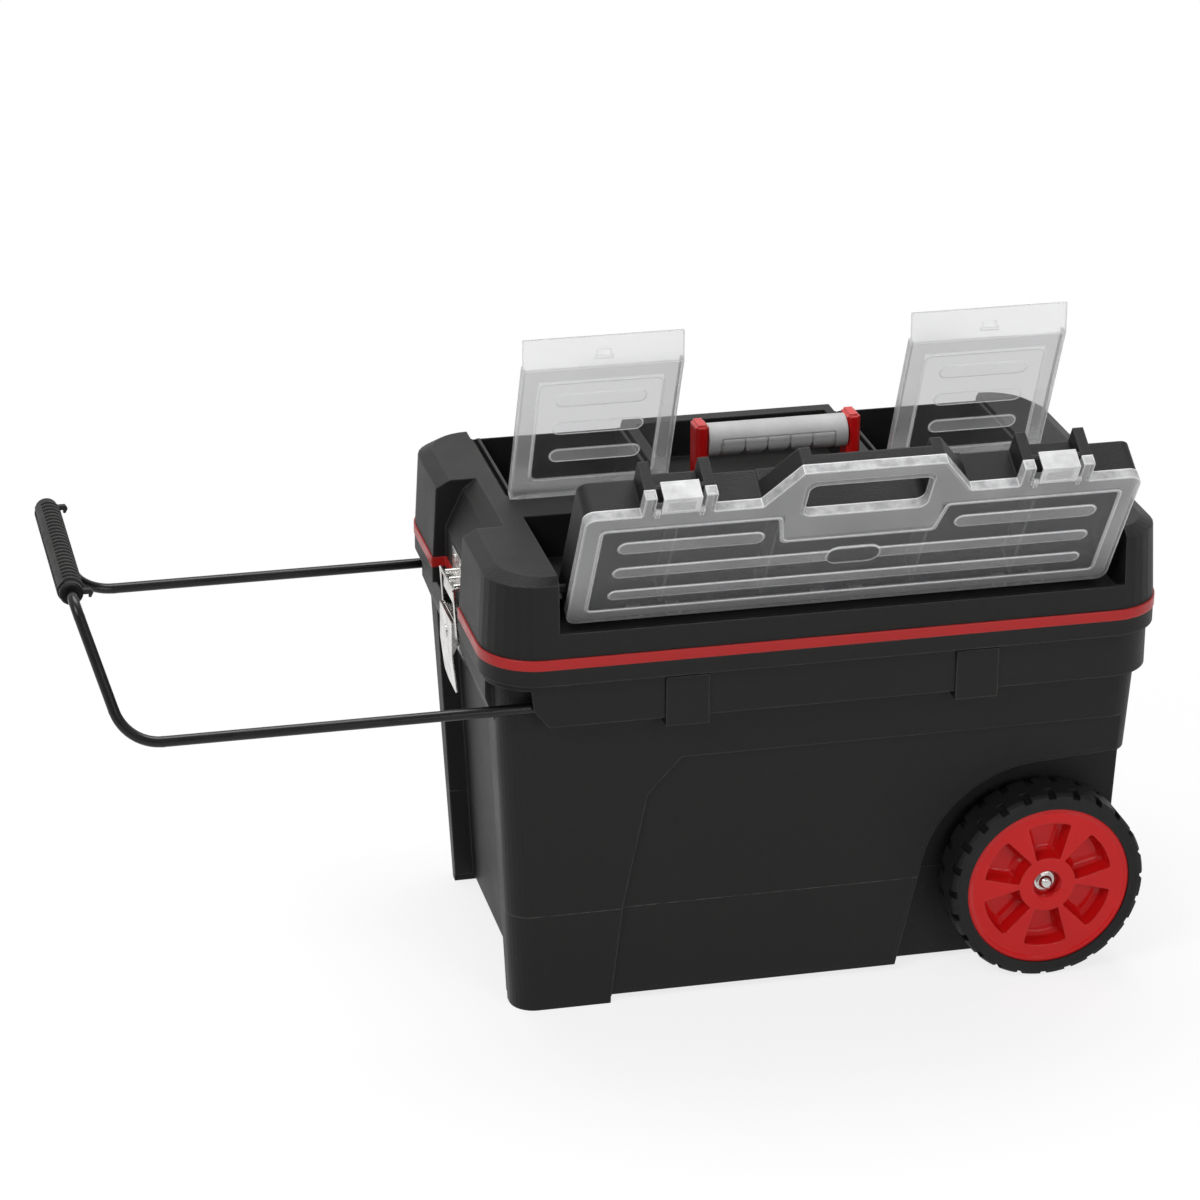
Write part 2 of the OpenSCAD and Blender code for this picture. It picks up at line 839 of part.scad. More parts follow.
// Pocket of the organizer case, with room for its swing, its bosses and its handle
module case_pocket(grow) {
    x0 = case_x - case_gap - grow;
    x1 = case_x + case_width + case_gap + grow;
    back = pivot_y - pivot_s + case_height + 4;
    box([x0, pocket_step - grow, pocket_floor - grow], [x1, back + grow, lid_top + past]);
    box([x0, pocket_edge - grow, pocket_front - grow], [x1, pocket_step + grow, lid_top + past]);
    // Lower stretch of the front wall, left as a lip in front of the organizer
    box([x0, -half_y - past, pocket_front + pocket_lip - grow], [x1, pocket_edge + 1, lid_top + past]);
    for (x = [boss_from - 4, case_width - boss_to - 4])
        box([case_x + x - grow, back - past, pocket_floor - grow],
            [case_x + x + boss_to - boss_from + 8 + grow, back + boss_rise + grow, lid_top + past]);
    box([case_x + case_width / 2 - handle_root - 4 - grow, back - past, pocket_floor - grow],
        [case_x + case_width / 2 + handle_root + 4 + grow, back + case_handle + grow,
         lid_top + past]);
}

// Groove round a bin for the cover's flanges, trough for its hinge and seat for its lip
module cover_seat(x) {
    for (edge = [0, cover_width - 2])
        box([x + edge - 1.5, cover_hinge_y + 3, lid_top - cover_flange - 2.5],
            [x + edge + 3.5, bin_back + 2, lid_top + past]);
    box([x + 6, cover_hinge_y - 8, lid_top - 7],
        [x + cover_width - 6, cover_hinge_y + 6 + past, lid_top + past]);
    // Relief in front of the hinge for the open plate
    box([x - 1, cover_hinge_y - 8, lid_top - 0.7],
        [x + cover_width + 1, cover_hinge_y - 1, lid_top + past]);
    // Slope under the lip, across the top of the back wall
    translate([x - 2.5, cover_hinge_y + cover_length, cover_hinge_z + cover_rise])
        rotate([-cover_bend, 0, 0])
            box([0, -16, -1.2], [cover_width + 5, cover_lip + 20, 30]);
}

module lid_blocks() {
    for (x = cover_x)
        bin(x, lid_wall - 1);
    carry_recess(lid_wall - 1);
    case_pocket(lid_wall - 1);
    notch(lid_wall);
    for (side = [-1, 1])
        bar_x(side > 0 ? recess_half : -recess_half - 12, side > 0 ? recess_half + 12 : -recess_half,
            carry_y, carry_z, 9);
    for (x = [case_x - case_gap - 12, case_x + case_width + case_gap])
        bar_x(x, x + 12, pivot_y, pivot_z, 9);
    for (x = cover_x) {
        box([x - 4.5, cover_hinge_y - 11, lid_top - 11],
            [x + cover_width + 4.5, bin_back + 2, lid_top - past]);
        box([x - 4.5, bin_back - bin_rim / 2, lid_top - cover_lip],
            [x + cover_width + 4.5, half_y, lid_top - past]);
    }
}

module lid_shell() {
    color(black)
        difference() {
            union() {
                difference() {
                    lid_outer();
                    lid_cavity();
                }
                intersection() {
                    lid_outer();
                    lid_blocks();
                }
                for (y = hinge_y)
                    hinge_lugs(y - hinge_width / 6, y + hinge_width / 6,
                        half_x - 2, hinge_z + move_gap, hinge_z + hinge_r);
            }
            for (x = cover_x) {
                bin(x, 0);
                cover_seat(x);
                bar_x(x + 1, x + cover_width - 1, cover_hinge_y, cover_hinge_z, cover_pin_r);
            }
            carry_recess(0);
            case_pocket(0);
            notch(0);
            bar_x(-recess_half - 11, recess_half + 11, carry_y, carry_z, carry_pin_r);
            bar_x(case_x - case_gap - 10, case_x + case_width + case_gap + 10, pivot_y, pivot_z,
                pivot_pin_r);
            translate([0, 0, trim_bottom])
                linear_extrude(trim_height)
                    difference() {
                        plate_2d(half_x + 5, half_y + 5, rim_radius + 5);
                        lid_2d(-trim_seat);
                    }
            // Room for the tub's hinge lugs
            for (y = hinge_y, dy = [-1, 1])
                bar_y(y + dy * hinge_width / 3 - hinge_width / 6,
                    y + dy * hinge_width / 3 + hinge_width / 6, hinge_x, hinge_z, hinge_r + 0.6);
            for (y = hinge_y)
                bar_y(y - hinge_width / 6 - past, y + hinge_width / 6 + past, hinge_x, hinge_z,
                    hinge_pin_r + run_gap);
        }
}

module lid_trim_band() {
    color(red)
        translate([0, 0, trim_bottom])
            linear_extrude(trim_height)
                difference() {
                    lid_2d(trim_proud);
                    lid_2d(-trim_seat);
                }
}

module lid_hinge_pins() {
    color(steel)
        for (y = hinge_y)
            bar_y(y - hinge_width / 2 + move_gap, y + hinge_width / 2 - move_gap, hinge_x, hinge_z,
                hinge_pin_r);
}

module bin_cover_hinge_pins() {
    color(steel)
        for (x = cover_x)
            bar_x(x + 1.5, x + cover_width - 1.5, cover_hinge_y, cover_hinge_z, cover_pin_r);
}

// Bin covers, in a frame at the hinge with y towards the lip when closed

module bin_cover(x) {
    w = cover_width;
    top = cover_rise + cover_plate;
    color(clear)
        translate([x, cover_hinge_y, cover_hinge_z])
            rotate([cover_open, 0, 0])
                difference() {
                    union() {
                        box([0, cover_start, cover_rise], [w, cover_length, top]);
                        for (edge = [0, w - 2])
                            box([edge, 6, cover_drop - cover_flange],
                                [edge + 2, cover_length, cover_rise + 0.5]);
                        // Lip, bent down from the plate, with its finger catch
                        translate([0, cover_length, cover_rise])
                            rotate([-cover_bend, 0, 0])
                                union() {
                                    box([0, -past, 0], [w, cover_lip, cover_plate]);
                                    box([w / 2 - 8, 8, 1], [w / 2 + 8, 10.5, 4.5]);
                                    box([w / 2 - 6, 10, 1], [w / 2 + 6, 16, 3]);
                                }
                        bar_x(7, w - 7, 0, 0, cover_barrel);
                        box([7, 0, 2], [w - 7, cover_start + past, top]);
                        // Raised outline and three raised bars
                        translate([0, 0, top - 0.2])
                            linear_extrude(0.9)
                                difference() {
                                    translate([w / 2, cover_length * 0.535])
                                        plate_2d(w / 2 - 15, cover_length * 0.37, 8);
                                    translate([w / 2, cover_length * 0.535])
                                        plate_2d(w / 2 - 16.6, cover_length * 0.37 - 1.6, 6.4);
                                }
                        for (s = [0.35, 0.56, 0.77] * cover_length)
                            translate([0, 0, top - 0.2])
                                pill(32, w - 30, s, 7, 1.2);
                    }
                    bar_x(0, w, 0, 0, cover_pin_r + run_gap);
                }
}

module bin_cover_left() { bin_cover(cover_x[0]); }
module bin_cover_right() { bin_cover(cover_x[1]); }

// Carry handle, standing up

module carry_handle_frame() {
    half = carry_grip_length / 2;
    color(red)
        difference() {
            union() {
                for (side = [-1, 1])
                    translate([side > 0 ? half : -half - carry_arm, carry_y, carry_z])
                        rotate([90, 0, 90])
                            linear_extrude(carry_arm) {
                                circle(10.5);
                                translate([-10.5, 0])
                                    square([21, carry_reach]);
                                translate([0, carry_reach])
                                    circle(carry_grip_diameter / 2 + 1);
                            }
                bar_x(-half - past, half + past, carry_y, carry_z + carry_reach, carry_core);
            }
            bar_x(-carry_outer - past, -half + past, carry_y, carry_z, carry_pin_r + run_gap);
            bar_x(half - past, carry_outer + past, carry_y, carry_z, carry_pin_r + run_gap);
        }
}

module carry_handle_grip() {
    half = carry_grip_length / 2;
    r = carry_grip_diameter / 2;
    pads = 5;
    pitch = (carry_grip_length - 24) / pads;
    color(grey)
        translate([0, carry_y, carry_z + carry_reach])
            difference() {
                union() {
                    bar_x(-half, half, 0, 0, r - 1.2);
                    for (x = [-half, half - 10])
                        bar_x(x, x + 10, 0, 0, r);
                    intersection() {
                        bar_x(-half, half, 0, 0, r);
                        box([-half, -r, 0], [half, r, r]);
                    }
                    // Finger pads on the front and under side
                    for (k = [0:pads - 1])
                        bar_x(-half + 13 + k * pitch, -half + 11 + (k + 1) * pitch, 0, 0, r - 0.2);
                }
                bar_x(-half - past, half + past, 0, 0, carry_core);
            }
}

module carry_handle_pins() {
    color(steel)
        for (side = [-1, 1])
            bar_x(side > 0 ? carry_grip_length / 2 + 2 : -recess_half - 10,
                side > 0 ? recess_half + 10 : -carry_grip_length / 2 - 2, carry_y, carry_z,
                carry_pin_r);
}

// Organizer case

module place_case() {
    translate([case_x, pivot_y, pivot_z])
        rotate([case_open, 0, 0])
            translate([0, -pivot_s, pivot_n])
                children();
}

// Case outline from its hinge edge to its handle, drawn in by d
module case_2d(d) {
    mid = case_width / 2;
    translate([mid, case_height / 2])
        plate_2d(mid - d, case_height / 2 - d, case_corner - d);
    for (x = [boss_from, case_width - boss_to])
        translate([x + d, case_height - 12])
            square([boss_to - boss_from - 2 * d, boss_rise + 12 - d]);
    polygon([
        [mid - handle_root + d, case_height - 12], [mid - handle_root + d, case_height - d],
        [mid - handle_tip + d, case_height + case_handle - d],
        [mid + handle_tip - d, case_height + case_handle - d],
        [mid + handle_root - d, case_height - d], [mid + handle_root - d, case_height - 12]]);
}

// Hole that the fingers go through, grown by d
module case_hole_2d(d) {
    translate([case_width / 2, (hole_low + hole_high) / 2])
        plate_2d(hole_half + d, (hole_high - hole_low) / 2 + d, 8);
}

// Gaps in the top edge for the latch flaps
module flap_slots_2d() {
    for (x = [slot_from, case_width - slot_to])
        translate([x, case_height + slot_rise])
            square([slot_to - slot_from, boss_rise + past]);
}

module case_knuckles(spans) {
    for (xc = case_hinges, span = spans)
        bar_x(xc + span[0], xc + span[1], 0, case_hinge_n, case_hinge_r);
}

module organizer_base() {
    mid = case_width / 2;
    top = -cover_side - move_gap;
    color(black)
        place_case()
            difference() {
                union() {
                    difference() {
                        translate([0, 0, -case_depth])
                            linear_extrude(case_depth + top)
                                difference() {
                                    case_2d(0.6);
                                    case_hole_2d(0);
                                }
                        // Compartment floor space, kept clear of the finger hole
                        translate([0, 0, -case_depth + case_wall])
                            linear_extrude(case_depth)
                                difference() {
                                    translate([mid, case_height / 2])
                                        plate_2d(mid - case_wall - 1, case_height / 2 - case_wall - 1,
                                            case_corner - case_wall - 1);
                                    translate([mid - hole_half - hole_wall, hole_low - hole_wall])
                                        square([2 * (hole_half + hole_wall), 100]);
                                }
                    }
                    for (x = [1, case_width - 11])
                        bar_x(x, x + 10, pivot_s, -pivot_n, 7.5);
                    case_knuckles([[-11, 11]]);
                    // Catches for the latch flaps
                    for (x = [slot_from, case_width - slot_to])
                        box([x + 6, case_height + boss_rise - 4, -cover_side - 2.8],
                            [x + slot_to - slot_from - 6, catch_top, -cover_side - 0.5]);
                    for (xc = case_hinges)
                        box([xc - 11, 0, case_hinge_n - case_hinge_r], [xc + 11, 2, top]);
                }
                for (x = [-past, case_width - 8])
                    bar_x(x, x + 8 + past, pivot_s, -pivot_n, pivot_pin_r + run_gap);
                bar_x(0, case_width, 0, case_hinge_n, case_pin_r);
                // Gap behind each latch flap, between the two cheeks of its boss
                translate([0, 0, -case_depth - past])
                    linear_extrude(case_depth - cover_side - 4.5 + past)
                        flap_slots_2d();
                for (xc = case_hinges, side = [-1, 1])
                    bar_x(xc + side * 17.3 - 6.3, xc + side * 17.3 + 6.3, 0, case_hinge_n,
                        case_hinge_r + move_gap);
            }
}

module organizer_dividers() {
    inner = case_wall + 1.2;
    side_width = case_width / 2 - hole_half - hole_wall;
    color(clear)
        place_case()
            for (side = [0, 1], k = [1:dividers_per_side])
                translate([side > 0 ? case_width - k * side_width / dividers_per_side + 4
                                    : k * side_width / dividers_per_side - 4, 0, 0])
                    box([-0.9, inner, -case_depth + case_wall],
                        [0.9, case_height - inner, -cover_side - 2]);
}

module organizer_hinge_pins() {
    color(steel)
        place_case()
            for (xc = case_hinges)
                bar_x(xc - case_hinge_width / 2, xc + case_hinge_width / 2, 0, case_hinge_n,
                    case_pin_r);
}

module organizer_pivot_pins() {
    color(steel)
        for (x = [case_x - case_gap - 9, case_x + case_width - 7])
            bar_x(x, x + case_gap + 16, pivot_y, pivot_z, pivot_pin_r);
}

// Raised outline on the cover, stepping down round the finger hole
module cover_outline_2d(d) {
    mid = case_width / 2;
    polygon(rounded([
        [outline_in + d, outline_in + d], [case_width - outline_in - d, outline_in + d],
        [case_width - outline_in - d, outline_top - d], [mid + outline_wide + d, outline_top - d],
        [mid + outline_narrow + d, outline_step - d], [mid - outline_narrow - d, outline_step - d],
        [mid - outline_wide - d, outline_top - d], [outline_in + d, outline_top - d]], 5 - d / 2));
}

module organizer_cover() {
    mid = case_width / 2;
    color(clear)
        place_case()
            difference() {
                union() {
                    difference() {
                        translate([0, 0, -cover_side])
                            linear_extrude(cover_side)
                                difference() {
                                    case_2d(0);
                                    flap_slots_2d();
                                    case_hole_2d(0);
                                }
                        translate([0, 0, -cover_side - past])
                            linear_extrude(cover_side + past - cover_skin)
                                difference() {
                                    case_2d(cover_wall);
                                    case_hole_2d(cover_wall);
                                    translate([0, -cover_wall])
                                        for (x = [slot_from - cover_wall,
                                                  case_width - slot_to - cover_wall])
                                            translate([x, case_height + slot_rise])
                                                square([slot_to - slot_from + 2 * cover_wall, 40]);
                                }
                    }
                    // Raised outline, bars and the bare oval on the front
                    translate([0, 0, -0.3])
                        linear_extrude(1.1)
                            difference() {
                                cover_outline_2d(0);
                                cover_outline_2d(1.8);
                            }
                    translate([0, 0, -0.3]) {
                        pill(33, mid - 84, 105, 7.5, 1.3);
                        pill(mid + 84, case_width - 33, 105, 7.5, 1.3);
                        pill(33, case_width - 33, 70, 6.5, 1.3);
                        pill(33, case_width - 33, 38, 6, 1.3);
                        pill(mid - 24, mid + 24, 70, 11, 1.6);
                    }
                    // Ears for the latch flaps
                    for (x = [slot_from, slot_to - flap_ear, case_width - slot_to,
                              case_width - slot_from - flap_ear]) {
                        box([x, flap_pivot_s - 7, -cover_skin], [x + flap_ear, flap_pivot_s, 3]);
                        bar_x(x, x + flap_ear, flap_pivot_s, flap_pivot_n, 2.6);
                    }
                    case_knuckles([[-23, -11.6], [11.6, 23]]);
                    for (xc = case_hinges, side = [-1, 1])
                        box([xc + side * 17.3 - 5.7, -1, case_hinge_n],
                            [xc + side * 17.3 + 5.7, cover_wall, -cover_skin]);
                }
                bar_x(0, case_width, 0, case_hinge_n, case_pin_r + run_gap);
                bar_x(0, case_width, flap_pivot_s, flap_pivot_n, flap_pin_r);
                for (xc = case_hinges)
                    bar_x(xc - 11.3, xc + 11.3, 0, case_hinge_n, case_hinge_r + move_gap);
            }
}

// Latch flap: a plate on the front that bends back over the top edge
module case_flap(x) {
    width = slot_to - slot_from - 2 * flap_ear - 1;
    top = catch_top + 2.6;
    s = flap_pivot_s;
    n = flap_pivot_n;
    color(clear)
        place_case()
            translate([x + flap_ear + 0.5, 0, 0])
                difference() {
                    union() {
                        bar_x(0, width, s, n, 2.4);
                        box([0, s, n + 0.4], [width, top, n + 2.4]);
                        box([0, top - 1.8, -cover_side - 5], [width, top, n + 2.4]);
                        box([0, catch_top + move_gap, -cover_side - 5],
                            [width, top, -cover_side - 3.2]);
                    }
                    bar_x(-past, width + past, s, n, flap_pin_r + run_gap);
                }
}

module organizer_latch_left() { case_flap(slot_from); }
module organizer_latch_right() { case_flap(case_width - slot_to); }

module organizer_latch_pins() {
    color(steel)
        place_case()
            for (x = [slot_from, case_width - slot_to])
                bar_x(x + 0.5, x + slot_to - slot_from - 0.5, flap_pivot_s, flap_pivot_n, flap_pin_r);
}

// Metal latch

module latch_base_plate() {
    ear = lever_width / 2 - plate - 2;
    ear_drop = 7.3;
    seat = end_face + latch_pocket;
    color(steel)
        difference() {
            union() {
                box([seat - plate, -ear - 1, latch_z - 34], [seat, ear + 1, latch_z + 3]);
                for (side = [-1, 1])
                    translate([latch_x, side > 0 ? ear - plate : -ear, latch_z])
                        rotate([-90, 0, 0])
                            linear_extrude(plate) {
                                square([seat - latch_x - plate / 2, ear_drop]);
                                circle(lever_pin_r + 1);
                            }
            }
            bar_y(-lever_width, lever_width, latch_x, latch_z, lever_pin_r);
            for (y = rivet_y, z = rivet_z)
                bar_x(-half_x, seat + past, y, latch_z + z, 2);
        }
}

module latch_base_rivets() {
    color(steel)
        for (y = rivet_y, z = rivet_z)
            translate([end_face + latch_pocket, y, latch_z + z])
                rotate([0, -90, 0]) {
                    cylinder(r = 2, h = plate);
                    translate([0, 0, plate])
                        cylinder(r = 3.2, h = 0.8);
                }
}

module latch_lever_pin() {
    color(steel)
        bar_y(-lever_width / 2 - 0.1, lever_width / 2 + 0.1, latch_x, latch_z, lever_pin_r);
}

// Side outline of the lever's front plate, bent in towards the tub at its lower end
lever_face = [
    [-4.6, 2.4], [-3.1, 2.4], [-3.1, -lever_length * 0.45], [0.6, -lever_length * 0.9],
    [2.6, -lever_length], [1.2, -lever_length - 0.8], [-0.8, -lever_length * 0.9],
    [-4.6, -lever_length * 0.45]];

module latch_lever() {
    half = lever_width / 2;
    tip = 16;
    color(steel)
        difference() {
            union() {
                intersection() {
                    translate([latch_x, half, latch_z])
                        rotate([90, 0, 0])
                            linear_extrude(lever_width)
                                polygon(lever_face);
                    // Rounded finger end
                    translate([latch_x - 20, 0, latch_z])
                        rotate([90, 0, 90])
                            linear_extrude(40) {
                                translate([-half, -lever_length + tip - 1])
                                    square([lever_width, lever_length]);
                                translate([-half + tip, -lever_length - 1])
                                    square([lever_width - 2 * tip, 2 * tip]);
                                for (y = [-half + tip, half - tip])
                                    translate([y, -lever_length + tip - 1])
                                        circle(tip);
                            }
                }
                for (side = [-1, 1])
                    translate([latch_x, side > 0 ? half : -half + plate, latch_z])
                        rotate([90, 0, 0])
                            linear_extrude(plate)
                                polygon([
                                    [-4.6, 2.4], [0.8, 2.4], [2.6, -2], [2.6, -bail_drop - 6],
                                    [-4.6, -lever_length * 0.45]]);
                // Round boss on the front
                translate([latch_x - 3.2, 0, latch_z - 16])
                    rotate([0, -90, 0])
                        cylinder(r = 6, h = 2.2);
            }
            bar_y(-half - past, half + past, latch_x, latch_z, lever_pin_r + run_gap);
            bar_y(-half - past, half + past, latch_x, latch_z - bail_drop,
                bail_wire / 2 + run_gap);
        }
}

module latch_bail() {
    r = bail_wire / 2;
    low = latch_z - bail_drop;
    color(steel) {
        for (side = [-1, 1]) {
            strut([latch_x, side * bail_y, low], [bail_x, side * bail_y, bail_top], r * 0.95);
            bar_y(side > 0 ? lever_width / 2 - plate : -bail_y - r,
                side > 0 ? bail_y + r : -lever_width / 2 + plate, latch_x, low, r);
        }
        bar_y(-bail_y - r, bail_y + r, bail_x, bail_top, r);
    }
}

// Keeper: a plate above the trim band with a ribbed nose that stands out behind the bail
module latch_keeper() {
    half = lever_width / 2 - 3;
    low = trim_bottom + trim_height + 1;
    nose = bail_x + bail_wire / 2 + move_gap;
    color(steel)
        difference() {
            union() {
                box([notch_x - plate, -half, low], [notch_x, half, notch_bend - 4]);
                box([nose, -half, low], [notch_x, half, low + plate]);
                box([nose, -half, seam_height + 12], [nose + plate, half, low + plate]);
                for (y = [-half + 5, 0, half - 5])
                    bar_x(nose + plate / 2, notch_x - plate / 2, y, low + plate, 2.2);
            }
            for (y = rivet_y)
                bar_x(-half_x, notch_x + past, y, notch_bend - 11, 2);
        }
}

module latch_keeper_rivets() {
    color(steel)
        for (y = rivet_y)
            translate([notch_x, y, notch_bend - 11])
                rotate([0, -90, 0]) {
                    cylinder(r = 2, h = plate);
                    translate([0, 0, plate])
                        cylinder(r = 3.2, h = 0.8);
                }
}

tub();
rod_guide_front_left();
rod_guide_front_right();
rod_guide_rear_left();
rod_guide_rear_right();
rod_guide_screws();
axle();
axle_washers();
axle_nuts();
latch_base_plate();
latch_base_rivets();
latch_lever_pin();
lid_hinge_pins();
latch_lever();
latch_bail();
lid_shell();
lid_trim_band();
latch_keeper();
latch_keeper_rivets();
bin_cover_hinge_pins();
carry_handle_pins();
organizer_pivot_pins();
bin_cover_left();
bin_cover_right();
carry_handle_frame();
carry_handle_grip();
pull_handle_hoop();
pull_handle_grip();
rod_end_glides();
wheel_front_rim();
wheel_front_tyre();
wheel_rear_rim();
wheel_rear_tyre();
organizer_base();
organizer_dividers();
organizer_hinge_pins();
organizer_cover();
organizer_latch_left();
organizer_latch_right();
organizer_latch_pins();
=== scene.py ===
"""Rolling toolbox: finishes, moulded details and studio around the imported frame. Metres, +Z up."""
import json
import math

import bpy
import bmesh
from mathutils import Matrix, Vector

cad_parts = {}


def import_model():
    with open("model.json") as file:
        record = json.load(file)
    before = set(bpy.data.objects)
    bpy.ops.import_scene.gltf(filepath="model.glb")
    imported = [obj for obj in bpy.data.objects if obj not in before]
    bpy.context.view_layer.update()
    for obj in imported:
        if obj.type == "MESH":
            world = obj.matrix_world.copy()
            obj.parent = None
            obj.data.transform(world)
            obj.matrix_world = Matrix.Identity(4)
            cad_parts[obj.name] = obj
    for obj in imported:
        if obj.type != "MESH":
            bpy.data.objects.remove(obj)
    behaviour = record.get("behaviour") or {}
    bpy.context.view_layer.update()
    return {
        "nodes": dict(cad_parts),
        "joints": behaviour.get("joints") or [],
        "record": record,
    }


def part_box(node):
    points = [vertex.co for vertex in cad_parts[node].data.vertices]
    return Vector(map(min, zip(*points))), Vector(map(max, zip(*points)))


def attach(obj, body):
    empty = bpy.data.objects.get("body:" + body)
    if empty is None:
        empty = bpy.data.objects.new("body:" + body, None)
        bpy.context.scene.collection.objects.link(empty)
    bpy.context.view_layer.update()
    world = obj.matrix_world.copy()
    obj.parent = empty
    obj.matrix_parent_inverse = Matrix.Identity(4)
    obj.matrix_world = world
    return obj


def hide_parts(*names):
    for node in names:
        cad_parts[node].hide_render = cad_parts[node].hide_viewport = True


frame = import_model()
nodes = frame["nodes"]
scene = bpy.context.scene

# Camera: fitted to the photograph
CAMERA_PLACE = Vector((-0.9325, -3.2933, 1.7215))
CAMERA_RIGHT = Vector((0.9741, -0.2261, 0.0031))
CAMERA_UP = Vector((0.0834, 0.3720, 0.9245))
CAMERA_LENS = 122.1

# Colours, linear
BLACK_PLASTIC = (0.0103, 0.0099, 0.0096)
# Black plastic's paler colour: a painted highlight on its edges, also used for its scuffs and parting
# line
BLACK_HIGHLIGHT_AND_WEAR = (0.075, 0.073, 0.071)
RED_PLASTIC = (0.56, 0.0065, 0.0075)
RED_TRIM = (0.39, 0.0095, 0.0095)
GREY_GRIP = (0.42, 0.42, 0.42)
TYRE_RUBBER = (0.0085, 0.0082, 0.0082)
BLACK_RUBBER = (0.0095, 0.0092, 0.009)
BLACK_PAINT = (0.0045, 0.0044, 0.0043)
STEEL = (0.74, 0.73, 0.71)
CLEAR_PLASTIC = (0.93, 0.935, 0.94)
# Painted highlight colour on red edges
RED_EDGE_HIGHLIGHT = (0.78, 0.09, 0.08)
BARE_STEEL = (0.05, 0.05, 0.05)
# Painted highlight colour on steel edges
STEEL_EDGE_HIGHLIGHT = (0.85, 0.85, 0.85)
# Painted shade down in the grip's grooves
GRIP_GROOVE_SHADE = (0.0006, 0.0006, 0.0006)
GRIP_RIBS = (0.016, 0.0155, 0.015)

# Specular level of each finish
BLACK_SHINE = 0.19
RED_SHINE = 0.32
RIM_SHINE = 0.24
CLEAR_SHINE = 0.5
RUBBER_SHINE = 0.22
RIBBED_SHINE = 0.2
PAINT_SHINE = 0.3

# Part of a noise pattern's range that the finishes use
SPREAD = (0.3, 0.7)

# Sizes of surface detail, metres
GRAIN = 0.0011
GRAIN_DEPTH = 0.00042
CLOUDS = 0.11
SCUFFS = 0.006
# Spots that break up the painted edge highlight
EDGE_HIGHLIGHT_SPOTS = 0.02
MOULD_EDGE = 0.0022
CLEAR_EDGE = 0.0020
METAL_EDGE = 0.0006
RED_EDGE = 0.0024
RIB_EDGE = 0.0006

# Moulding line round the tub, and the pull handle's grip with the height of its ribs, metres
PARTING_LINE = 0.0955
PARTING_HALF = 0.0004
GRIP_RADIUS = 0.0115
GRIP_RIB = 0.0022
GRIP_RIB_TOP = 0.0005

# Wheel rim: radius and depth behind the tyre's face, from the axle hole outwards and round the back
RIM_OUTLINE = ((0.00505, 0.015), (0.012, 0.015), (0.013, 0.005), (0.0145, 0.004), (0.0707, 0.004),
               (0.073, 0.0025), (0.076, 0.0025), (0.076, 0.044), (0.0684, 0.044), (0.0669, 0.025),
               (0.0205, 0.025), (0.0175, 0.0495), (0.00505, 0.0495))
RIM_STEPS = 96
WHEEL_FACE = 0.187

# Windows of the rim: radii, half angles in degrees, and size of the hollow at each depth
WINDOWS = 6
WINDOW_INNER = (0.0262, 25.0)
WINDOW_OUTER = (0.0605, 19.5)
WINDOW_ARC = 6
WINDOW_CORNER = 0.15
WINDOW_SOFTENING = 2
WINDOW_HOLLOW = ((-0.002, 1.0), (0.0045, 1.0), (0.0120, 0.95), (0.0180, 0.86), (0.0210, 0.66))

# Finger pads of the carry grip: where they part, and the notch between two of them
PAD_ENDS = 0.052
PAD_PARTINGS = (-0.0312, -0.0104, 0.0104, 0.0312)
PAD_FACING = math.radians(60)
PAD_NOTCH = ((0.0, -0.0046), (0.0016, -0.0016), (0.0045, -0.0004), (0.008, 0.0004), (0.008, 0.004))
PAD_GROOVE = 0.0012
PAD_TOP = 0.0032

# Organizer's handle, from its hinge line: half spans and kept depths of its shoulders and its bar
HANDLE_CUTS = {"shoulders": (0.0905, 0.018), "bar": (0.052, 0.0095)}
HANDLE_FOOT = 0.148
CASE_TOP = 0.0007
CASE_REACH = 0.06

# Edges that turn by less than this many degrees are shaded smooth
SMOOTH_UNDER = 32

# Arms of the carry handle: depth, rise over the middle of the grip, and rounding
ARM_DEPTH = 0.0245
ARM_OVER = 0.0175
ARM_EDGE = 0.0022
ARM_EDGE_STEPS = 3

# Clear covers, metres: their own axes start at the hinge line
BIN_COVER = {"joint": "bin_cover_left_hinge", "open": math.radians(113.4), "face": 0.0050,
             "length": 0.156, "margin": 0.0158, "field_middle": 0.535, "field_half": 0.37,
             "low_end": (0.02, 0.055)}
CASE_COVER = {"joint": "organizer_cover_hinge", "open": math.radians(122.4), "face": 0.0110,
              "margin": 0.0158, "field_low": 0.0158, "field_high": 0.1302,
              "step": 0.098, "step_half": 0.069, "oval": (0.0218, 0.0612, 0.0788)}
RAISED = (0.0003, 0.0006)
FLAP_FIELD = (0.1575, 0.1690)
FLAP_MARGIN = 0.0048

# Share of light that clear pieces stop: plain, frosted (with a painted reflection near the bin covers'
# hinge), as a painted highlight of piped light on walls and edges, as a painted sheen at grazing angles,
# and on lips; and the tint of what they pass
PLAIN_HAZE = (0.05, 0.08)
PLAIN_EDGE_HIGHLIGHT = 0.5
PLAIN_TINT = (0.88, 0.88, 0.885, 1.0)
BIN_HAZE = 0.03
BIN_FROST_AND_REFLECTION = (0.5, 0.22)
BIN_WALL_HIGHLIGHT = 0.3
BIN_LIP = 0.3
BIN_TINT = (0.80, 0.80, 0.805)
BIN_LIP_TINT = (0.95, 0.95, 0.95)
BIN_PASSING = 0.5
CASE_HAZE = 0.008
CASE_FROST = 0.19
CASE_WALL_HIGHLIGHT = (0.24, 0.4)
CASE_TINT = (0.72, 0.72, 0.725, 1.0)
FLAP_MILK = (0.34, 0.5)
FLAP_FIELD_SHARE = 0.6
FLAP_WHOLE = 0.2
FLAP_EDGE_HIGHLIGHT = 0.4
FLAP_TINT = (0.92, 0.92, 0.92, 1.0)
FULL_EDGE_HIGHLIGHT = 1.0
GRAZING_SHEEN = 0.2

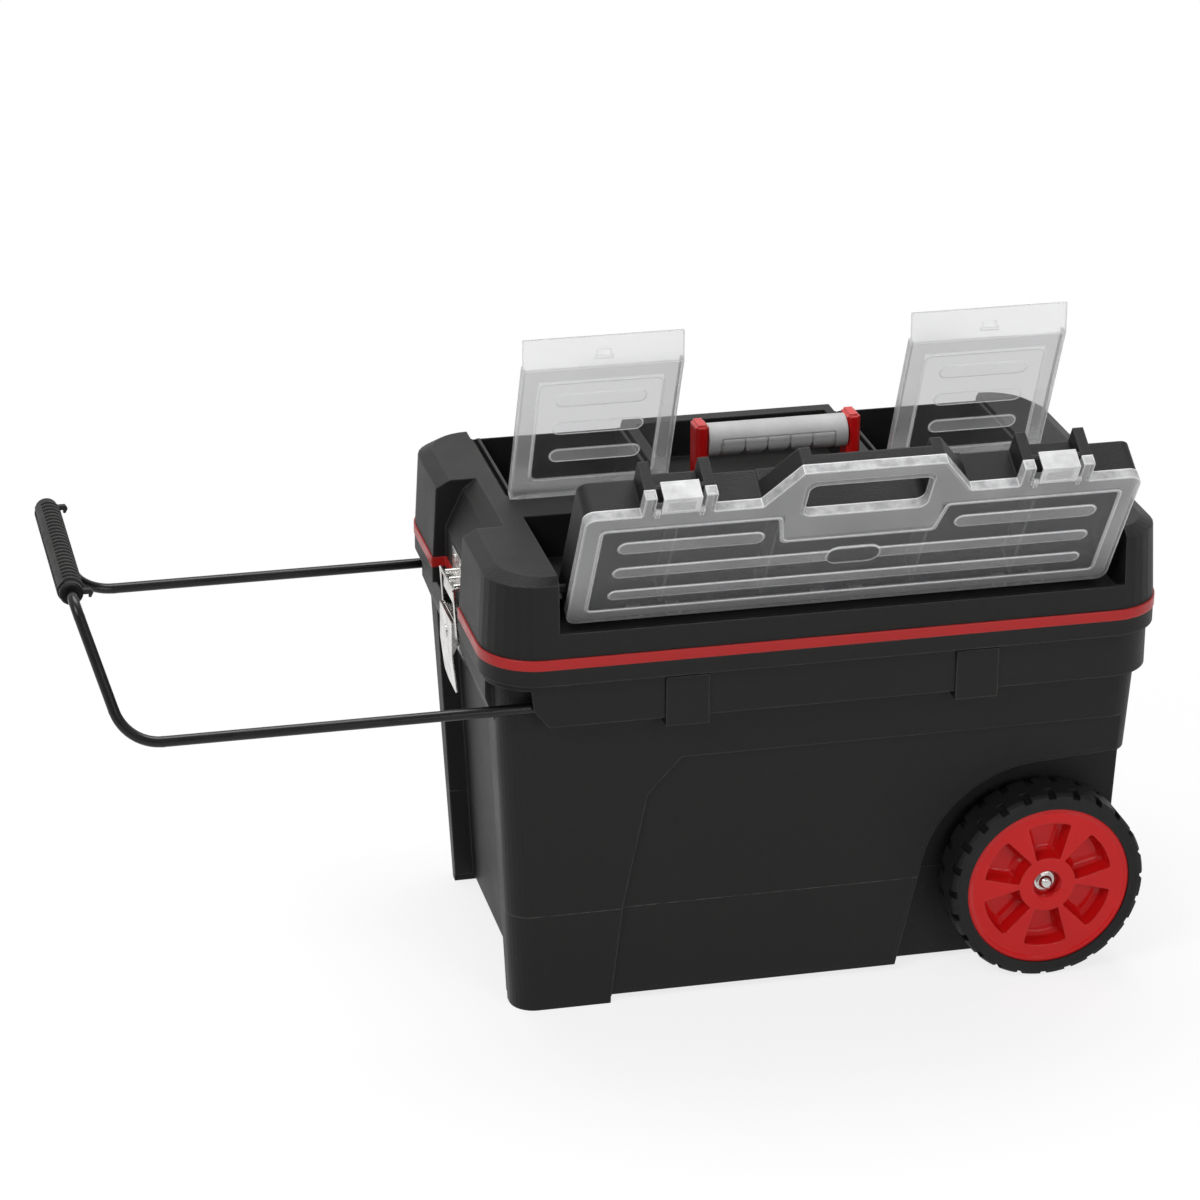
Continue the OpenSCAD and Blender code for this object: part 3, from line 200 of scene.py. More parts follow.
# Studio: floor, light from all round, sky in gloss, and lamps as place, size and power
FLOOR_HALF = 24.0
FLOOR_TONES = ((0.72, 0.72, 0.72), (0.70, 0.70, 0.70))
FLOOR_SEEN = (0.97, 0.97, 0.97)
FLOOR_REACH = (0.45, 1.4)
FLOOR_GLOW = (0.78, 1.0)
ROUND_LIGHT = 0.32
SKY_AIM = (-0.25, 0.75, 0.6)
SKY_RANGE = (("From Min", -0.6), ("From Max", 0.9), ("To Min", 0.25), ("To Max", 1.0))
LAMP_TARGET = (0.0, 0.0, 0.3)
LAMPS = {
    "key": ((-2.4, -1.9, 2.9), (1.6, 1.3), 50),
    "fill": ((1.1, -3.1, 1.25), (1.5, 1.3), 32),
    "top": ((0.1, 0.7, 3.2), (2.4, 1.6), 75),
}


class Tree:
    """A material's nodes, made and linked in one call each."""

    def __init__(self, name):
        self.material = bpy.data.materials.new(name)
        self.material.use_nodes = True
        self.nodes = self.material.node_tree.nodes
        self.links = self.material.node_tree.links
        self.nodes.clear()

    def add(self, kind, inputs=None, **settings):
        node = self.nodes.new("ShaderNode" + kind)
        for key, value in settings.items():
            setattr(node, key, value)
        for key, value in (inputs or {}).items():
            socket = node.inputs[key]
            if isinstance(value, bpy.types.NodeSocket):
                self.links.new(value, socket)
            elif isinstance(value, bpy.types.Node):
                self.links.new(value.outputs[0], socket)
            else:
                socket.default_value = value
        return node

    def math(self, operation, a, b=0.0, clamp=False):
        return self.add("Math", {0: a, 1: b}, operation=operation, use_clamp=clamp)

    def ramp(self, value, low, high, to_low=0.0, to_high=1.0):
        return self.add("MapRange", {"Value": value, "From Min": low, "From Max": high,
                                     "To Min": to_low, "To Max": to_high})

    def mix(self, factor, a, b):
        node = self.nodes.new("ShaderNodeMix")
        node.data_type = "RGBA"
        for index, value in ((0, factor), (6, a), (7, b)):
            socket = node.inputs[index]
            if isinstance(value, bpy.types.NodeSocket):
                self.links.new(value, socket)
            elif isinstance(value, bpy.types.Node):
                self.links.new(value.outputs[0], socket)
            else:
                socket.default_value = (*value, 1.0) if index else value
        return node.outputs[2]

    def place(self):
        return self.add("TexCoord").outputs["Object"]

    def noise(self, size, detail=3.0, roughness=0.5, stretch=None):
        vector = self.place()
        if stretch:
            vector = self.add("Mapping", {"Vector": vector, "Scale": stretch}).outputs[0]
        return self.add("TexNoise", {"Vector": vector, "Scale": 1.0 / size, "Detail": detail,
                                     "Roughness": roughness}).outputs[0]

    def edges(self, radius, turned=0.86):
        """Rounded normal, and how much it turns away from the flat one: 0 on faces, 1 on edges."""
        bevel = self.add("Bevel", {"Radius": radius}, samples=4)
        flat = self.add("NewGeometry").outputs["Normal"]
        edge = self.ramp(self.dot(bevel.outputs[0], flat), 1.0, turned)
        return bevel.outputs[0], edge.outputs[0]

    def bump(self, height, distance, strength, normal=None):
        inputs = {"Height": height, "Distance": distance, "Strength": strength}
        if normal is not None:
            inputs["Normal"] = normal
        return self.add("Bump", inputs).outputs[0]

    def between(self, value, low, high):
        return self.math("MULTIPLY", self.math("GREATER_THAN", value, low),
                         self.math("LESS_THAN", value, high))

    def dot(self, vector, axis):
        return self.add("VectorMath", {0: vector, 1: axis}, operation="DOT_PRODUCT").outputs["Value"]

    def finish(self, shader):
        self.add("OutputMaterial", {"Surface": shader})
        return self.material


def moulded_black(name, colour, highlight_and_wear, roughness, grain, edge, line=None):
    """Near-black moulded plastic with a fine leather grain, paler edges from a painted highlight, scuffs,
    and a parting line.
    """
    t = Tree(name)
    normal, edge_mask = t.edges(edge)
    cells = t.add("TexVoronoi", {"Vector": t.place(), "Scale": 1.0 / grain},
                  feature="SMOOTH_F1").outputs["Distance"]
    fine = t.noise(grain * 0.6, 2.0)
    height = t.math("ADD", cells, t.math("MULTIPLY", fine, 0.5))
    clouds = t.noise(CLOUDS, 5.0, 0.62)
    scuffs = t.ramp(t.noise(SCUFFS, 4.0, 0.7, (1.0, 1.0, 5.0)), 0.62, 0.78).outputs[0]
    # Painted highlight on the edges, broken up in spots, plus real scuffs
    edge_highlight_and_wear = t.math("MULTIPLY", edge_mask, t.ramp(t.noise(EDGE_HIGHLIGHT_SPOTS, 4.0), *SPREAD, 0.45, 1.0))
    edge_highlight_and_wear = t.math("ADD", edge_highlight_and_wear, t.math("MULTIPLY", scuffs, 0.07), clamp=True)
    if line:
        level = t.add("SeparateXYZ", {0: t.place()}).outputs["Z"]
        seam = t.between(level, line - PARTING_HALF, line + PARTING_HALF)
        broken = t.ramp(t.noise(0.012, 3.0), 0.35, 0.6, 0.1, 0.8)
        edge_highlight_and_wear = t.math("ADD", edge_highlight_and_wear, t.math("MULTIPLY", seam, broken), clamp=True)
    shade = t.mix(t.ramp(clouds, *SPREAD).outputs[0], tuple(c * 0.86 for c in colour),
                  tuple(c * 1.16 for c in colour))
    shader = t.add("BsdfPrincipled", {
        "Base Color": t.mix(edge_highlight_and_wear.outputs[0], shade, highlight_and_wear),
        "Roughness": t.ramp(clouds, *SPREAD, roughness - 0.05, roughness + 0.07),
        "Normal": t.bump(height, GRAIN_DEPTH, 0.8, normal),
        "Specular IOR Level": BLACK_SHINE})
    return t.finish(shader)


def red(name, colour, roughness, shine=RED_SHINE):
    """Red moulding, a little deeper along its flow lines, and paler on its edges from a painted
    highlight.
    """
    t = Tree(name)
    normal, edge_mask = t.edges(RED_EDGE)
    flow = t.ramp(t.noise(0.05, 4.0, 0.6), 0.35, 0.75, 0.0, 0.3).outputs[0]
    shade = t.mix(flow, colour, tuple(c * 0.7 for c in colour))
    # Painted highlight on the edges
    pale = t.mix(t.math("MULTIPLY", edge_mask, 0.22).outputs[0], shade, RED_EDGE_HIGHLIGHT)
    shader = t.add("BsdfPrincipled", {
        "Base Color": pale,
        "Roughness": t.ramp(t.noise(0.012, 4.0), *SPREAD, roughness - 0.05, roughness + 0.06),
        "Normal": t.bump(t.noise(0.0016, 2.0), 0.0001, 0.25, normal),
        "Specular IOR Level": shine})
    return t.finish(shader)


def hinge_of(name):
    """Where a joint's axis runs at rest."""
    joint = next(j for j in frame["joints"] if j["name"] == name)
    return Vector(joint["pos_m"])


class Panel:
    """A clear cover's own axes at rest: across from its middle, up its face and out of it."""

    def __init__(self, tree, node, sizes):
        low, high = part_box(node)
        self.half = (high[0] - low[0]) / 2
        hinge = hinge_of(sizes["joint"])
        hinge.x = (high[0] + low[0]) / 2
        up = (0.0, math.cos(sizes["open"]), math.sin(sizes["open"]))
        out = (0.0, -up[2], up[1])
        spot = tree.add("VectorMath", {0: tree.place(), 1: hinge}, operation="SUBTRACT").outputs[0]
        self.across = tree.math("ABSOLUTE", tree.dot(spot, (1.0, 0.0, 0.0)))
        self.up = tree.dot(spot, up)
        self.out = tree.math("SUBTRACT", tree.dot(spot, out), sizes["face"])
        facing = tree.add("TexCoord").outputs["Normal"]
        self.turned = tree.math("ABSOLUTE", tree.dot(facing, out))


def clear(t, frosted, whole, edge, tint, passing=0.0):
    """Clear styrene: frosted where the mask says, whiter on walls and edges from a painted highlight of
    piped light, and whiter at grazing angles from a painted sheen.
    """
    normal, edge_mask = t.edges(CLEAR_EDGE, 0.94)
    # Painted sheen at grazing angles
    grazing_sheen = t.add("LayerWeight", {"Blend": 0.2, "Normal": normal}).outputs["Fresnel"]
    cloud = t.ramp(t.noise(0.05, 3.0), *SPREAD, 0.85, 1.15)
    cover = t.math("MAXIMUM", t.math("MULTIPLY", frosted, cloud), whole)
    # Painted highlight of piped light on the edges
    cover = t.math("ADD", cover, t.math("MULTIPLY", edge_mask, edge))
    cover = t.math("ADD", cover, t.math("MULTIPLY", grazing_sheen, GRAZING_SHEEN), clamp=True)
    body = t.add("BsdfPrincipled", {
        "Base Color": (*CLEAR_PLASTIC, 1.0),
        "Roughness": t.ramp(t.noise(0.012, 3.0), *SPREAD, 0.14, 0.22),
        "Normal": normal,
        "Transmission Weight": passing,
        "Specular IOR Level": CLEAR_SHINE})
    through = t.add("BsdfTransparent", {"Color": tint})
    return t.finish(t.add("MixShader", {0: cover.outputs[0], 1: through.outputs[0],
                                        2: body.outputs[0]}))


def plain_clear(name):
    """Clear pieces inside the organizer."""
    t = Tree(name)
    haze = t.ramp(t.noise(0.03, 2.0), *SPREAD, *PLAIN_HAZE)
    return clear(t, haze, 0.0, PLAIN_EDGE_HIGHLIGHT, PLAIN_TINT)


def bin_cover_clear(node):
    """Clear inside the raised outline, frosted round it and on the bars, hazier near the hinge from a
    painted reflection, with a painted highlight on its walls, paler on the lip.
    """
    t = Tree(node + "_clear")
    panel = Panel(t, node, BIN_COVER)
    length = BIN_COVER["length"]
    middle = length * BIN_COVER["field_middle"]
    reach = length * BIN_COVER["field_half"]
    field = t.math("MULTIPLY", t.math("LESS_THAN", panel.across, panel.half - BIN_COVER["margin"]),
                   t.between(panel.up, middle - reach, middle + reach))
    raised = t.ramp(panel.out, *RAISED)
    frosted = t.math("MAXIMUM", t.math("SUBTRACT", 1.0, field), raised)
    lip = t.math("GREATER_THAN", panel.up, length)
    # Painted highlight on the walls
    wall_highlight = t.ramp(panel.turned, 0.7, 0.4, 0.0, BIN_WALL_HIGHLIGHT)
    # Frost, hazier towards the hinge from a painted reflection
    frost_and_reflection = t.ramp(panel.up, *BIN_COVER["low_end"], *BIN_FROST_AND_REFLECTION)
    haze = t.math("ADD", t.math("MULTIPLY", frosted, frost_and_reflection), BIN_HAZE)
    whole = t.math("MAXIMUM", wall_highlight, t.math("MULTIPLY", lip, BIN_LIP))
    tint = t.mix(lip.outputs[0], BIN_TINT, BIN_LIP_TINT)
    return clear(t, haze, whole, FULL_EDGE_HIGHLIGHT, tint, BIN_PASSING)


def case_cover_clear(node):
    """Clear inside the raised outline, frosted round it and on the bars, white on its flanges from a
    painted highlight of piped light.
    """
    t = Tree(node + "_clear")
    panel = Panel(t, node, CASE_COVER)
    field = t.math("MULTIPLY", t.math("LESS_THAN", panel.across, panel.half - CASE_COVER["margin"]),
                   t.between(panel.up, CASE_COVER["field_low"], CASE_COVER["field_high"]))
    step = t.math("MULTIPLY", t.math("LESS_THAN", panel.across, CASE_COVER["step_half"]),
                  t.math("GREATER_THAN", panel.up, CASE_COVER["step"]))
    field = t.math("MULTIPLY", field, t.math("SUBTRACT", 1.0, step))
    half, low, high = CASE_COVER["oval"]
    oval = t.math("MULTIPLY", t.math("LESS_THAN", panel.across, half), t.between(panel.up, low, high))
    raised = t.math("MULTIPLY", t.ramp(panel.out, *RAISED), t.math("SUBTRACT", 1.0, oval))
    frosted = t.math("MAXIMUM", t.math("SUBTRACT", 1.0, field), raised)
    # Painted highlight on walls and flanges, uneven along them
    streaky_highlight = t.ramp(t.noise(0.009, 3.0, 0.6), 0.35, 0.65, *CASE_WALL_HIGHLIGHT)
    wall_highlight = t.math("MULTIPLY", t.ramp(panel.turned, 0.8, 0.5), streaky_highlight)
    haze = t.ramp(frosted, 0.0, 1.0, CASE_HAZE, CASE_FROST)
    return clear(t, haze, wall_highlight, FULL_EDGE_HIGHLIGHT, CASE_TINT)


def flap_clear(node):
    """Milky latch flap with a clearer field."""
    t = Tree(node + "_clear")
    panel = Panel(t, node, CASE_COVER)
    low, high = FLAP_FIELD
    field = t.math("MULTIPLY", t.math("LESS_THAN", panel.across, panel.half - FLAP_MARGIN),
                   t.between(panel.up, low, high))
    milky = t.ramp(t.noise(0.012, 2.0), *SPREAD, *FLAP_MILK)
    milky = t.math("MULTIPLY", milky, t.ramp(field, 0.0, 1.0, 1.0, FLAP_FIELD_SHARE))
    # Edges whitened by a painted highlight of piped light
    return clear(t, milky, FLAP_WHOLE, FLAP_EDGE_HIGHLIGHT, FLAP_TINT)


def rubber(name, colour, roughness, grain, edge):
    """Dull rubber with a little dust, and paler edges from a painted highlight."""
    t = Tree(name)
    normal, edge_mask = t.edges(edge)
    dust = t.ramp(t.noise(0.03, 5.0, 0.65), 0.35, 0.75, 0.0, 0.5).outputs[0]
    shade = t.mix(dust, colour, tuple(c * 1.35 + 0.004 for c in colour))
    # Painted highlight on the edges
    pale = t.mix(t.math("MULTIPLY", edge_mask, 0.3).outputs[0], shade,
                 tuple(c * 1.8 + 0.01 for c in colour))
    shader = t.add("BsdfPrincipled", {
        "Base Color": pale,
        "Roughness": t.ramp(t.noise(0.01, 4.0), *SPREAD, roughness - 0.06, roughness + 0.08),
        "Normal": t.bump(t.noise(grain, 3.0), 0.00015, 0.45, normal),
        "Specular IOR Level": RUBBER_SHINE})
    return t.finish(shader)


def painted_steel(name):
    """Black paint on rod, worn thin in places."""
    t = Tree(name)
    peel = t.noise(0.0025, 2.0)
    wear = t.ramp(t.noise(0.014, 5.0, 0.7, (0.15, 1.0, 1.0)), 0.66, 0.8, 0.0, 0.35).outputs[0]
    shader = t.add("BsdfPrincipled", {
        "Base Color": t.mix(wear, BLACK_PAINT, BARE_STEEL),
        "Roughness": t.ramp(t.noise(0.02, 4.0), *SPREAD, 0.20, 0.34),
        "Normal": t.bump(peel, 0.00008, 0.2),
        "Specular IOR Level": PAINT_SHINE,
        "Coat Weight": 0.05,
        "Coat Roughness": 0.15})
    return t.finish(shader)


def bright_steel(name):
    """Plated steel, brushed and a little stained, with a painted highlight on its edges."""
    t = Tree(name)
    normal, edge_mask = t.edges(METAL_EDGE)
    brush = t.noise(0.0016, 3.0, 0.6, (1.0, 0.06, 1.0))
    stain = t.noise(0.018, 4.0, 0.6)
    shade = t.mix(t.ramp(stain, 0.35, 0.75).outputs[0], STEEL, tuple(c * 0.55 for c in STEEL))
    shader = t.add("BsdfPrincipled", {
        # Painted highlight on the edges
        "Base Color": t.mix(t.math("MULTIPLY", edge_mask, 0.5).outputs[0], shade, STEEL_EDGE_HIGHLIGHT),
        "Metallic": 1.0,
        "Roughness": t.ramp(brush, *SPREAD, 0.16, 0.34),
        "Normal": t.bump(brush, 0.00005, 0.25, normal)})
    return t.finish(shader)


def ribbed_rubber(name, node):
    """Rubber of the ribbed grip, near black down in its grooves from painted shade."""
    t = Tree(name)
    low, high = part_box(node)
    middle = (low[0] + GRIP_RADIUS, 0.0, (low[2] + high[2]) / 2)
    spot = t.add("VectorMath", {0: t.place(), 1: middle}, operation="SUBTRACT").outputs[0]
    flat = t.add("VectorMath", {0: spot, 1: (1.0, 0.0, 1.0)}, operation="MULTIPLY").outputs[0]
    radius = t.add("VectorMath", {0: flat}, operation="LENGTH").outputs["Value"]
    groove = t.ramp(radius, GRIP_RADIUS - GRIP_RIB, GRIP_RADIUS - GRIP_RIB_TOP).outputs[0]
    normal = t.edges(RIB_EDGE)[0]
    # Painted shade in the grooves, near black
    shade = t.mix(groove, GRIP_GROOVE_SHADE, GRIP_RIBS)
    shader = t.add("BsdfPrincipled", {
        "Base Color": shade,
        "Roughness": t.ramp(t.noise(0.01, 4.0), *SPREAD, 0.46, 0.6),
        "Normal": t.bump(t.noise(0.0009, 3.0), 0.00015, 0.45, normal),
        "Specular IOR Level": RIBBED_SHINE})
    return t.finish(shader)


FINISHES = {
    "black_plastic": moulded_black("black_plastic", BLACK_PLASTIC, BLACK_HIGHLIGHT_AND_WEAR,
                                   0.48, GRAIN, MOULD_EDGE),
    "red_plastic": red("red_plastic", RED_PLASTIC, 0.2),
    "clear_plastic": plain_clear("clear_plastic"),
    "grey_grip": rubber("grey_grip", GREY_GRIP, 0.62, 0.0008, 0.0015),
    "black_rubber": rubber("black_rubber", BLACK_RUBBER, 0.52, 0.0009, 0.0010),
    "tyre_rubber": rubber("tyre_rubber", TYRE_RUBBER, 0.58, 0.0010, 0.0012),
    "black_painted_steel": painted_steel("black_painted_steel"),
    "bright_steel": bright_steel("bright_steel"),
}
RIM_RED = red("rim_red", RED_PLASTIC, 0.11, RIM_SHINE)
OWN_FINISHES = {
    "wheel_front_rim": RIM_RED,
    "wheel_rear_rim": RIM_RED,
    "tub": moulded_black("tub_plastic", BLACK_PLASTIC, BLACK_HIGHLIGHT_AND_WEAR, 0.48, GRAIN, MOULD_EDGE,
                         PARTING_LINE),
    "lid_trim_band": red("trim_red", RED_TRIM, 0.35),
    "bin_cover_left": bin_cover_clear("bin_cover_left"),
    "bin_cover_right": bin_cover_clear("bin_cover_right"),
    "organizer_cover": case_cover_clear("organizer_cover"),
    "organizer_latch_left": flap_clear("organizer_latch_left"),
    "organizer_latch_right": flap_clear("organizer_latch_right"),
    "pull_handle_grip": ribbed_rubber("ribbed_rubber", "pull_handle_grip"),
}


def dress(piece, material):
    """Gives a piece its finish in every slot."""
    data = piece.data
    if not data.materials:
        data.materials.append(material)
    for index in range(len(data.materials)):
        data.materials[index] = material


for part in frame["record"]["subparts"]:
    name = part["node"]
    dress(nodes[name], OWN_FINISHES.get(name) or FINISHES[part["material_slot"]])


# Pieces that are shown nearer to the photograph than their solids

def smooth_by_angle(mesh, degrees):
    """Shades a mesh smooth, with sharp edges where it turns more."""
    for polygon in mesh.polygons:
        polygon.use_smooth = True
    mesh.set_sharp_from_angle(angle=math.radians(degrees))


def new_piece(name, bm, material):
    """A mesh object of the part from a filled bmesh."""
    mesh = bpy.data.meshes.new(name)
    bm.to_mesh(mesh)
    bm.free()
    piece = bpy.data.objects.new(name, mesh)
    scene.collection.objects.link(piece)
    dress(piece, material)
    return piece


def box_mesh(corner, far, turn):
    """A box between two corners in turned axes."""
    bm = bmesh.new()
    bmesh.ops.create_cube(bm, size=1.0)
    low, high = Vector(corner), Vector(far)
    place = turn @ Matrix.Translation((low + high) / 2) @ Matrix.Diagonal((*(high - low), 1.0))
    bmesh.ops.transform(bm, matrix=place, verts=bm.verts)
    return bm


def case_axes():
    """Across, up and out of the open organizer, from the middle of its hinge line."""
    hinge = hinge_of(CASE_COVER["joint"])
    return Matrix.Translation(hinge) @ Matrix.Rotation(CASE_COVER["open"], 4, "X")


def cut_away(piece, cutters):
    """Takes each cutter's space out of a piece, then shades its curves smooth."""
    tools = []
    for index, bm in enumerate(cutters):
        tools.append(new_piece("cutter_%d" % index, bm, piece.data.materials[0]))
        cut = piece.modifiers.new("cut_%d" % index, "BOOLEAN")
        cut.operation = "DIFFERENCE"
        cut.solver = "EXACT"
        cut.object = tools[-1]
    shown = piece.evaluated_get(bpy.context.evaluated_depsgraph_get())
    mesh = bpy.data.meshes.new_from_object(shown)
    piece.modifiers.clear()
    piece.data = mesh
    smooth_by_angle(mesh, SMOOTH_UNDER)
    for tool in tools:
        bpy.data.objects.remove(tool)


def copy_of(node_name, name):
    """A piece with a node's mesh, welded, and without its stored normals."""
    node = nodes[node_name]
    bm = bmesh.new()
    bm.from_mesh(node.data)
    bmesh.ops.remove_doubles(bm, verts=bm.verts, dist=1e-6)
    piece = new_piece(name, bm, node.data.materials[0])
    normals = piece.data.attributes.get("custom_normal")
    if normals:
        piece.data.attributes.remove(normals)
    return piece


def stack(bm, rings, closed):
    """Skins a row of equal rings of points, with end caps or joined round."""
    layers = [[bm.verts.new(point) for point in ring] for ring in rings]
    pairs = list(zip(layers, layers[1:]))
    if closed:
        pairs.append((layers[-1], layers[0]))
    else:
        bm.faces.new(layers[0])
        bm.faces.new(layers[-1])
    count = len(layers[0])
    for below, above in pairs:
        for k in range(count):
            after = (k + 1) % count
            bm.faces.new((below[k], below[after], above[after], above[k]))


def slim_handle():
    """The organizer's base with its handle cut back to a slim bar between two shoulders."""
    base = copy_of("organizer_base", "organizer_base_slim")
    cutters = []
    for half, kept in HANDLE_CUTS.values():
        cutters.append(box_mesh((-half, HANDLE_FOOT, -CASE_REACH),
                                (half, HANDLE_FOOT + CASE_REACH, CASE_TOP - kept), case_axes()))
    cut_away(base, cutters)
    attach(base, "organizer")
    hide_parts("organizer_base")


def window_outline():
    """Outline of a window that points away from the axle along X, soft at its corners."""
    inner, inner_angle = WINDOW_INNER
    outer, outer_angle = WINDOW_OUTER

    def arc(radius, start, end):
        angles = [math.radians(start + (end - start) * k / WINDOW_ARC) for k in range(WINDOW_ARC + 1)]
        return [Vector((radius * math.cos(a), radius * math.sin(a))) for a in angles]

    def side(a, b):
        return [a.lerp(b, WINDOW_CORNER), a.lerp(b, 1.0 - WINDOW_CORNER)]

    near = arc(inner, -inner_angle, inner_angle)
    far = arc(outer, outer_angle, -outer_angle)
    points = near + side(near[-1], far[0]) + far + side(far[-1], near[0])
    for _ in range(WINDOW_SOFTENING):
        pairs = zip(points, points[1:] + points[:1])
        points = [a.lerp(b, share) for a, b in pairs for share in (0.25, 0.75)]
    return points


def windowed_rim(side, sign):
    """The rim with six deep, soft windows, one of them at the top, as the wheel happens to stand."""
    node = "wheel_%s_rim" % side
    axle = hinge_of("wheel_%s_spin" % side)

    def at(along, across, depth):
        return (axle.x + along, sign * (WHEEL_FACE - depth), axle.z + across)

    bm = bmesh.new()
    turns = [2 * math.pi * k / RIM_STEPS for k in range(RIM_STEPS)]
    stack(bm, [[at(r * math.cos(a), r * math.sin(a), depth) for r, depth in RIM_OUTLINE] for a in turns],
          True)
    bmesh.ops.recalc_face_normals(bm, faces=bm.faces)
    rim = new_piece(node + "_windowed", bm, nodes[node].data.materials[0])

    cutter = bmesh.new()
    outline = window_outline()
    middle = Vector(((WINDOW_INNER[0] + WINDOW_OUTER[0]) / 2, 0.0))
    for k in range(WINDOWS):
        turn = Matrix.Rotation(math.pi / 2 + 2 * math.pi * k / WINDOWS, 2)
        rings = []
        for depth, share in WINDOW_HOLLOW:
            shrunk = [turn @ middle.lerp(point, share) for point in outline]
            rings.append([at(point.x, point.y, depth) for point in shrunk])
        stack(cutter, rings, False)
    bmesh.ops.recalc_face_normals(cutter, faces=cutter.faces)
    cut_away(rim, [cutter])
    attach(rim, "wheel_" + side)
    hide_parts(node)


def padded_grip():
    """The carry grip with notches between its finger pads and a groove above them."""
    grip = copy_of("carry_handle_grip", "carry_handle_grip_padded")
    low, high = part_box("carry_handle_grip")
    radius = (high[2] - low[2]) / 2
    centre = Vector((0.0, (low[1] + high[1]) / 2, (low[2] + high[2]) / 2))
    down = Vector((0.0, -math.cos(PAD_FACING), -math.sin(PAD_FACING)))
    along = Vector((0.0, -down.z, down.y))
    right = [(x, radius + d) for x, d in PAD_NOTCH]
    left = [(-x, d) for x, d in reversed(right[1:])]
    notch = bmesh.new()
    for parting in PAD_PARTINGS:
        rings = []
        for reach in (-2 * radius, 2 * radius):
            rings.append([centre + Vector((parting + x, 0.0, 0.0)) + down * d + along * reach
                          for x, d in right + left])
        stack(notch, rings, False)
    bmesh.ops.recalc_face_normals(notch, faces=notch.faces)
    outside, inside = low[1] - PAD_GROOVE, low[1] + PAD_GROOVE
    top = centre.z + PAD_TOP
    cutters = [notch, box_mesh((-PAD_ENDS, outside, top), (PAD_ENDS, inside, top + PAD_GROOVE),
                               Matrix.Identity(4))]
    for parting in (-PAD_ENDS, *PAD_PARTINGS, PAD_ENDS):
        cutters.append(box_mesh((parting - PAD_GROOVE / 2, outside, centre.z - PAD_GROOVE),
                                (parting + PAD_GROOVE / 2, inside, top + PAD_GROOVE / 2),
                                Matrix.Identity(4)))
    cut_away(grip, cutters)
    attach(grip, "carry_handle")
    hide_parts("carry_handle_grip")


def square_arms():
    """The carry handle's two arms as flat bars with square, rounded-over ends."""
    material = nodes["carry_handle_frame"].data.materials[0]
    low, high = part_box("carry_handle_frame")
    grip_low, grip_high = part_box("carry_handle_grip")
    pivot = hinge_of("carry_handle_hinge")
    middle = (grip_low[2] + grip_high[2]) / 2
    spans = {"left": (low[0], grip_low[0]), "right": (grip_high[0], high[0])}
    for side, (start, end) in spans.items():
        bm = box_mesh((start, pivot.y - ARM_DEPTH / 2, low[2]),
                      (end, pivot.y + ARM_DEPTH / 2, middle + ARM_OVER), Matrix.Identity(4))
        bmesh.ops.bevel(bm, geom=bm.edges[:], offset=ARM_EDGE, segments=ARM_EDGE_STEPS,
                        affect="EDGES")
        arm = new_piece("carry_arm_" + side, bm, material)
        smooth_by_angle(arm.data, SMOOTH_UNDER)
        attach(arm, "carry_handle")
        if side == "left":
            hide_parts("carry_handle_frame")


windowed_rim("front", -1)
windowed_rim("rear", 1)
slim_handle()
square_arms()
padded_grip()


# Studio

def studio_floor():
    """Pale floor: plain to the light, white where it is looked at, with the object's shadow near it."""
    t = Tree("floor_white")
    path = t.add("LightPath")
    looked = t.math("MAXIMUM", path.outputs["Is Camera Ray"], path.outputs["Is Glossy Ray"])
    looked = t.math("MAXIMUM", looked, path.outputs["Is Transmission Ray"])
    reach = t.add("VectorMath", {0: t.place()}, operation="LENGTH").outputs["Value"]
    share = t.ramp(reach, *FLOOR_REACH, *FLOOR_GLOW)
    tone = t.mix(t.ramp(t.noise(1.7, 2.0), *SPREAD).outputs[0], *FLOOR_TONES)
    plain = t.add("BsdfDiffuse", {"Color": t.mix(looked.outputs[0], tone, FLOOR_SEEN)})
    glow = t.add("Emission", {"Color": (1.0, 1.0, 1.0, 1.0), "Strength": 1.0})
    share = t.math("MULTIPLY", looked, share)
    return t.finish(t.add("MixShader", {0: share.outputs[0], 1: plain.outputs[0], 2: glow.outputs[0]}))


def floor():
    """Wide floor under the object."""
    size = FLOOR_HALF
    mesh = bpy.data.meshes.new("floor")
    corners = [(-size, -size, 0), (size, -size, 0), (size, size, 0), (-size, size, 0)]
    mesh.from_pydata(corners, [], [(0, 1, 2, 3)])
    mesh.materials.append(studio_floor())
    plane = bpy.data.objects.new("floor", mesh)
    scene.collection.objects.link(plane)


def lamp(name, place, target, size, power):
    """Soft rectangular lamp that faces a point."""
    data = bpy.data.lights.new(name, "AREA")
    data.shape = "RECTANGLE"
    data.size, data.size_y = size
    data.energy = power
    lamp_object = bpy.data.objects.new(name, data)
    lamp_object.location = place
    aim = Vector(target) - Vector(place)
    lamp_object.rotation_euler = aim.to_track_quat("-Z", "Y").to_euler()
    scene.collection.objects.link(lamp_object)


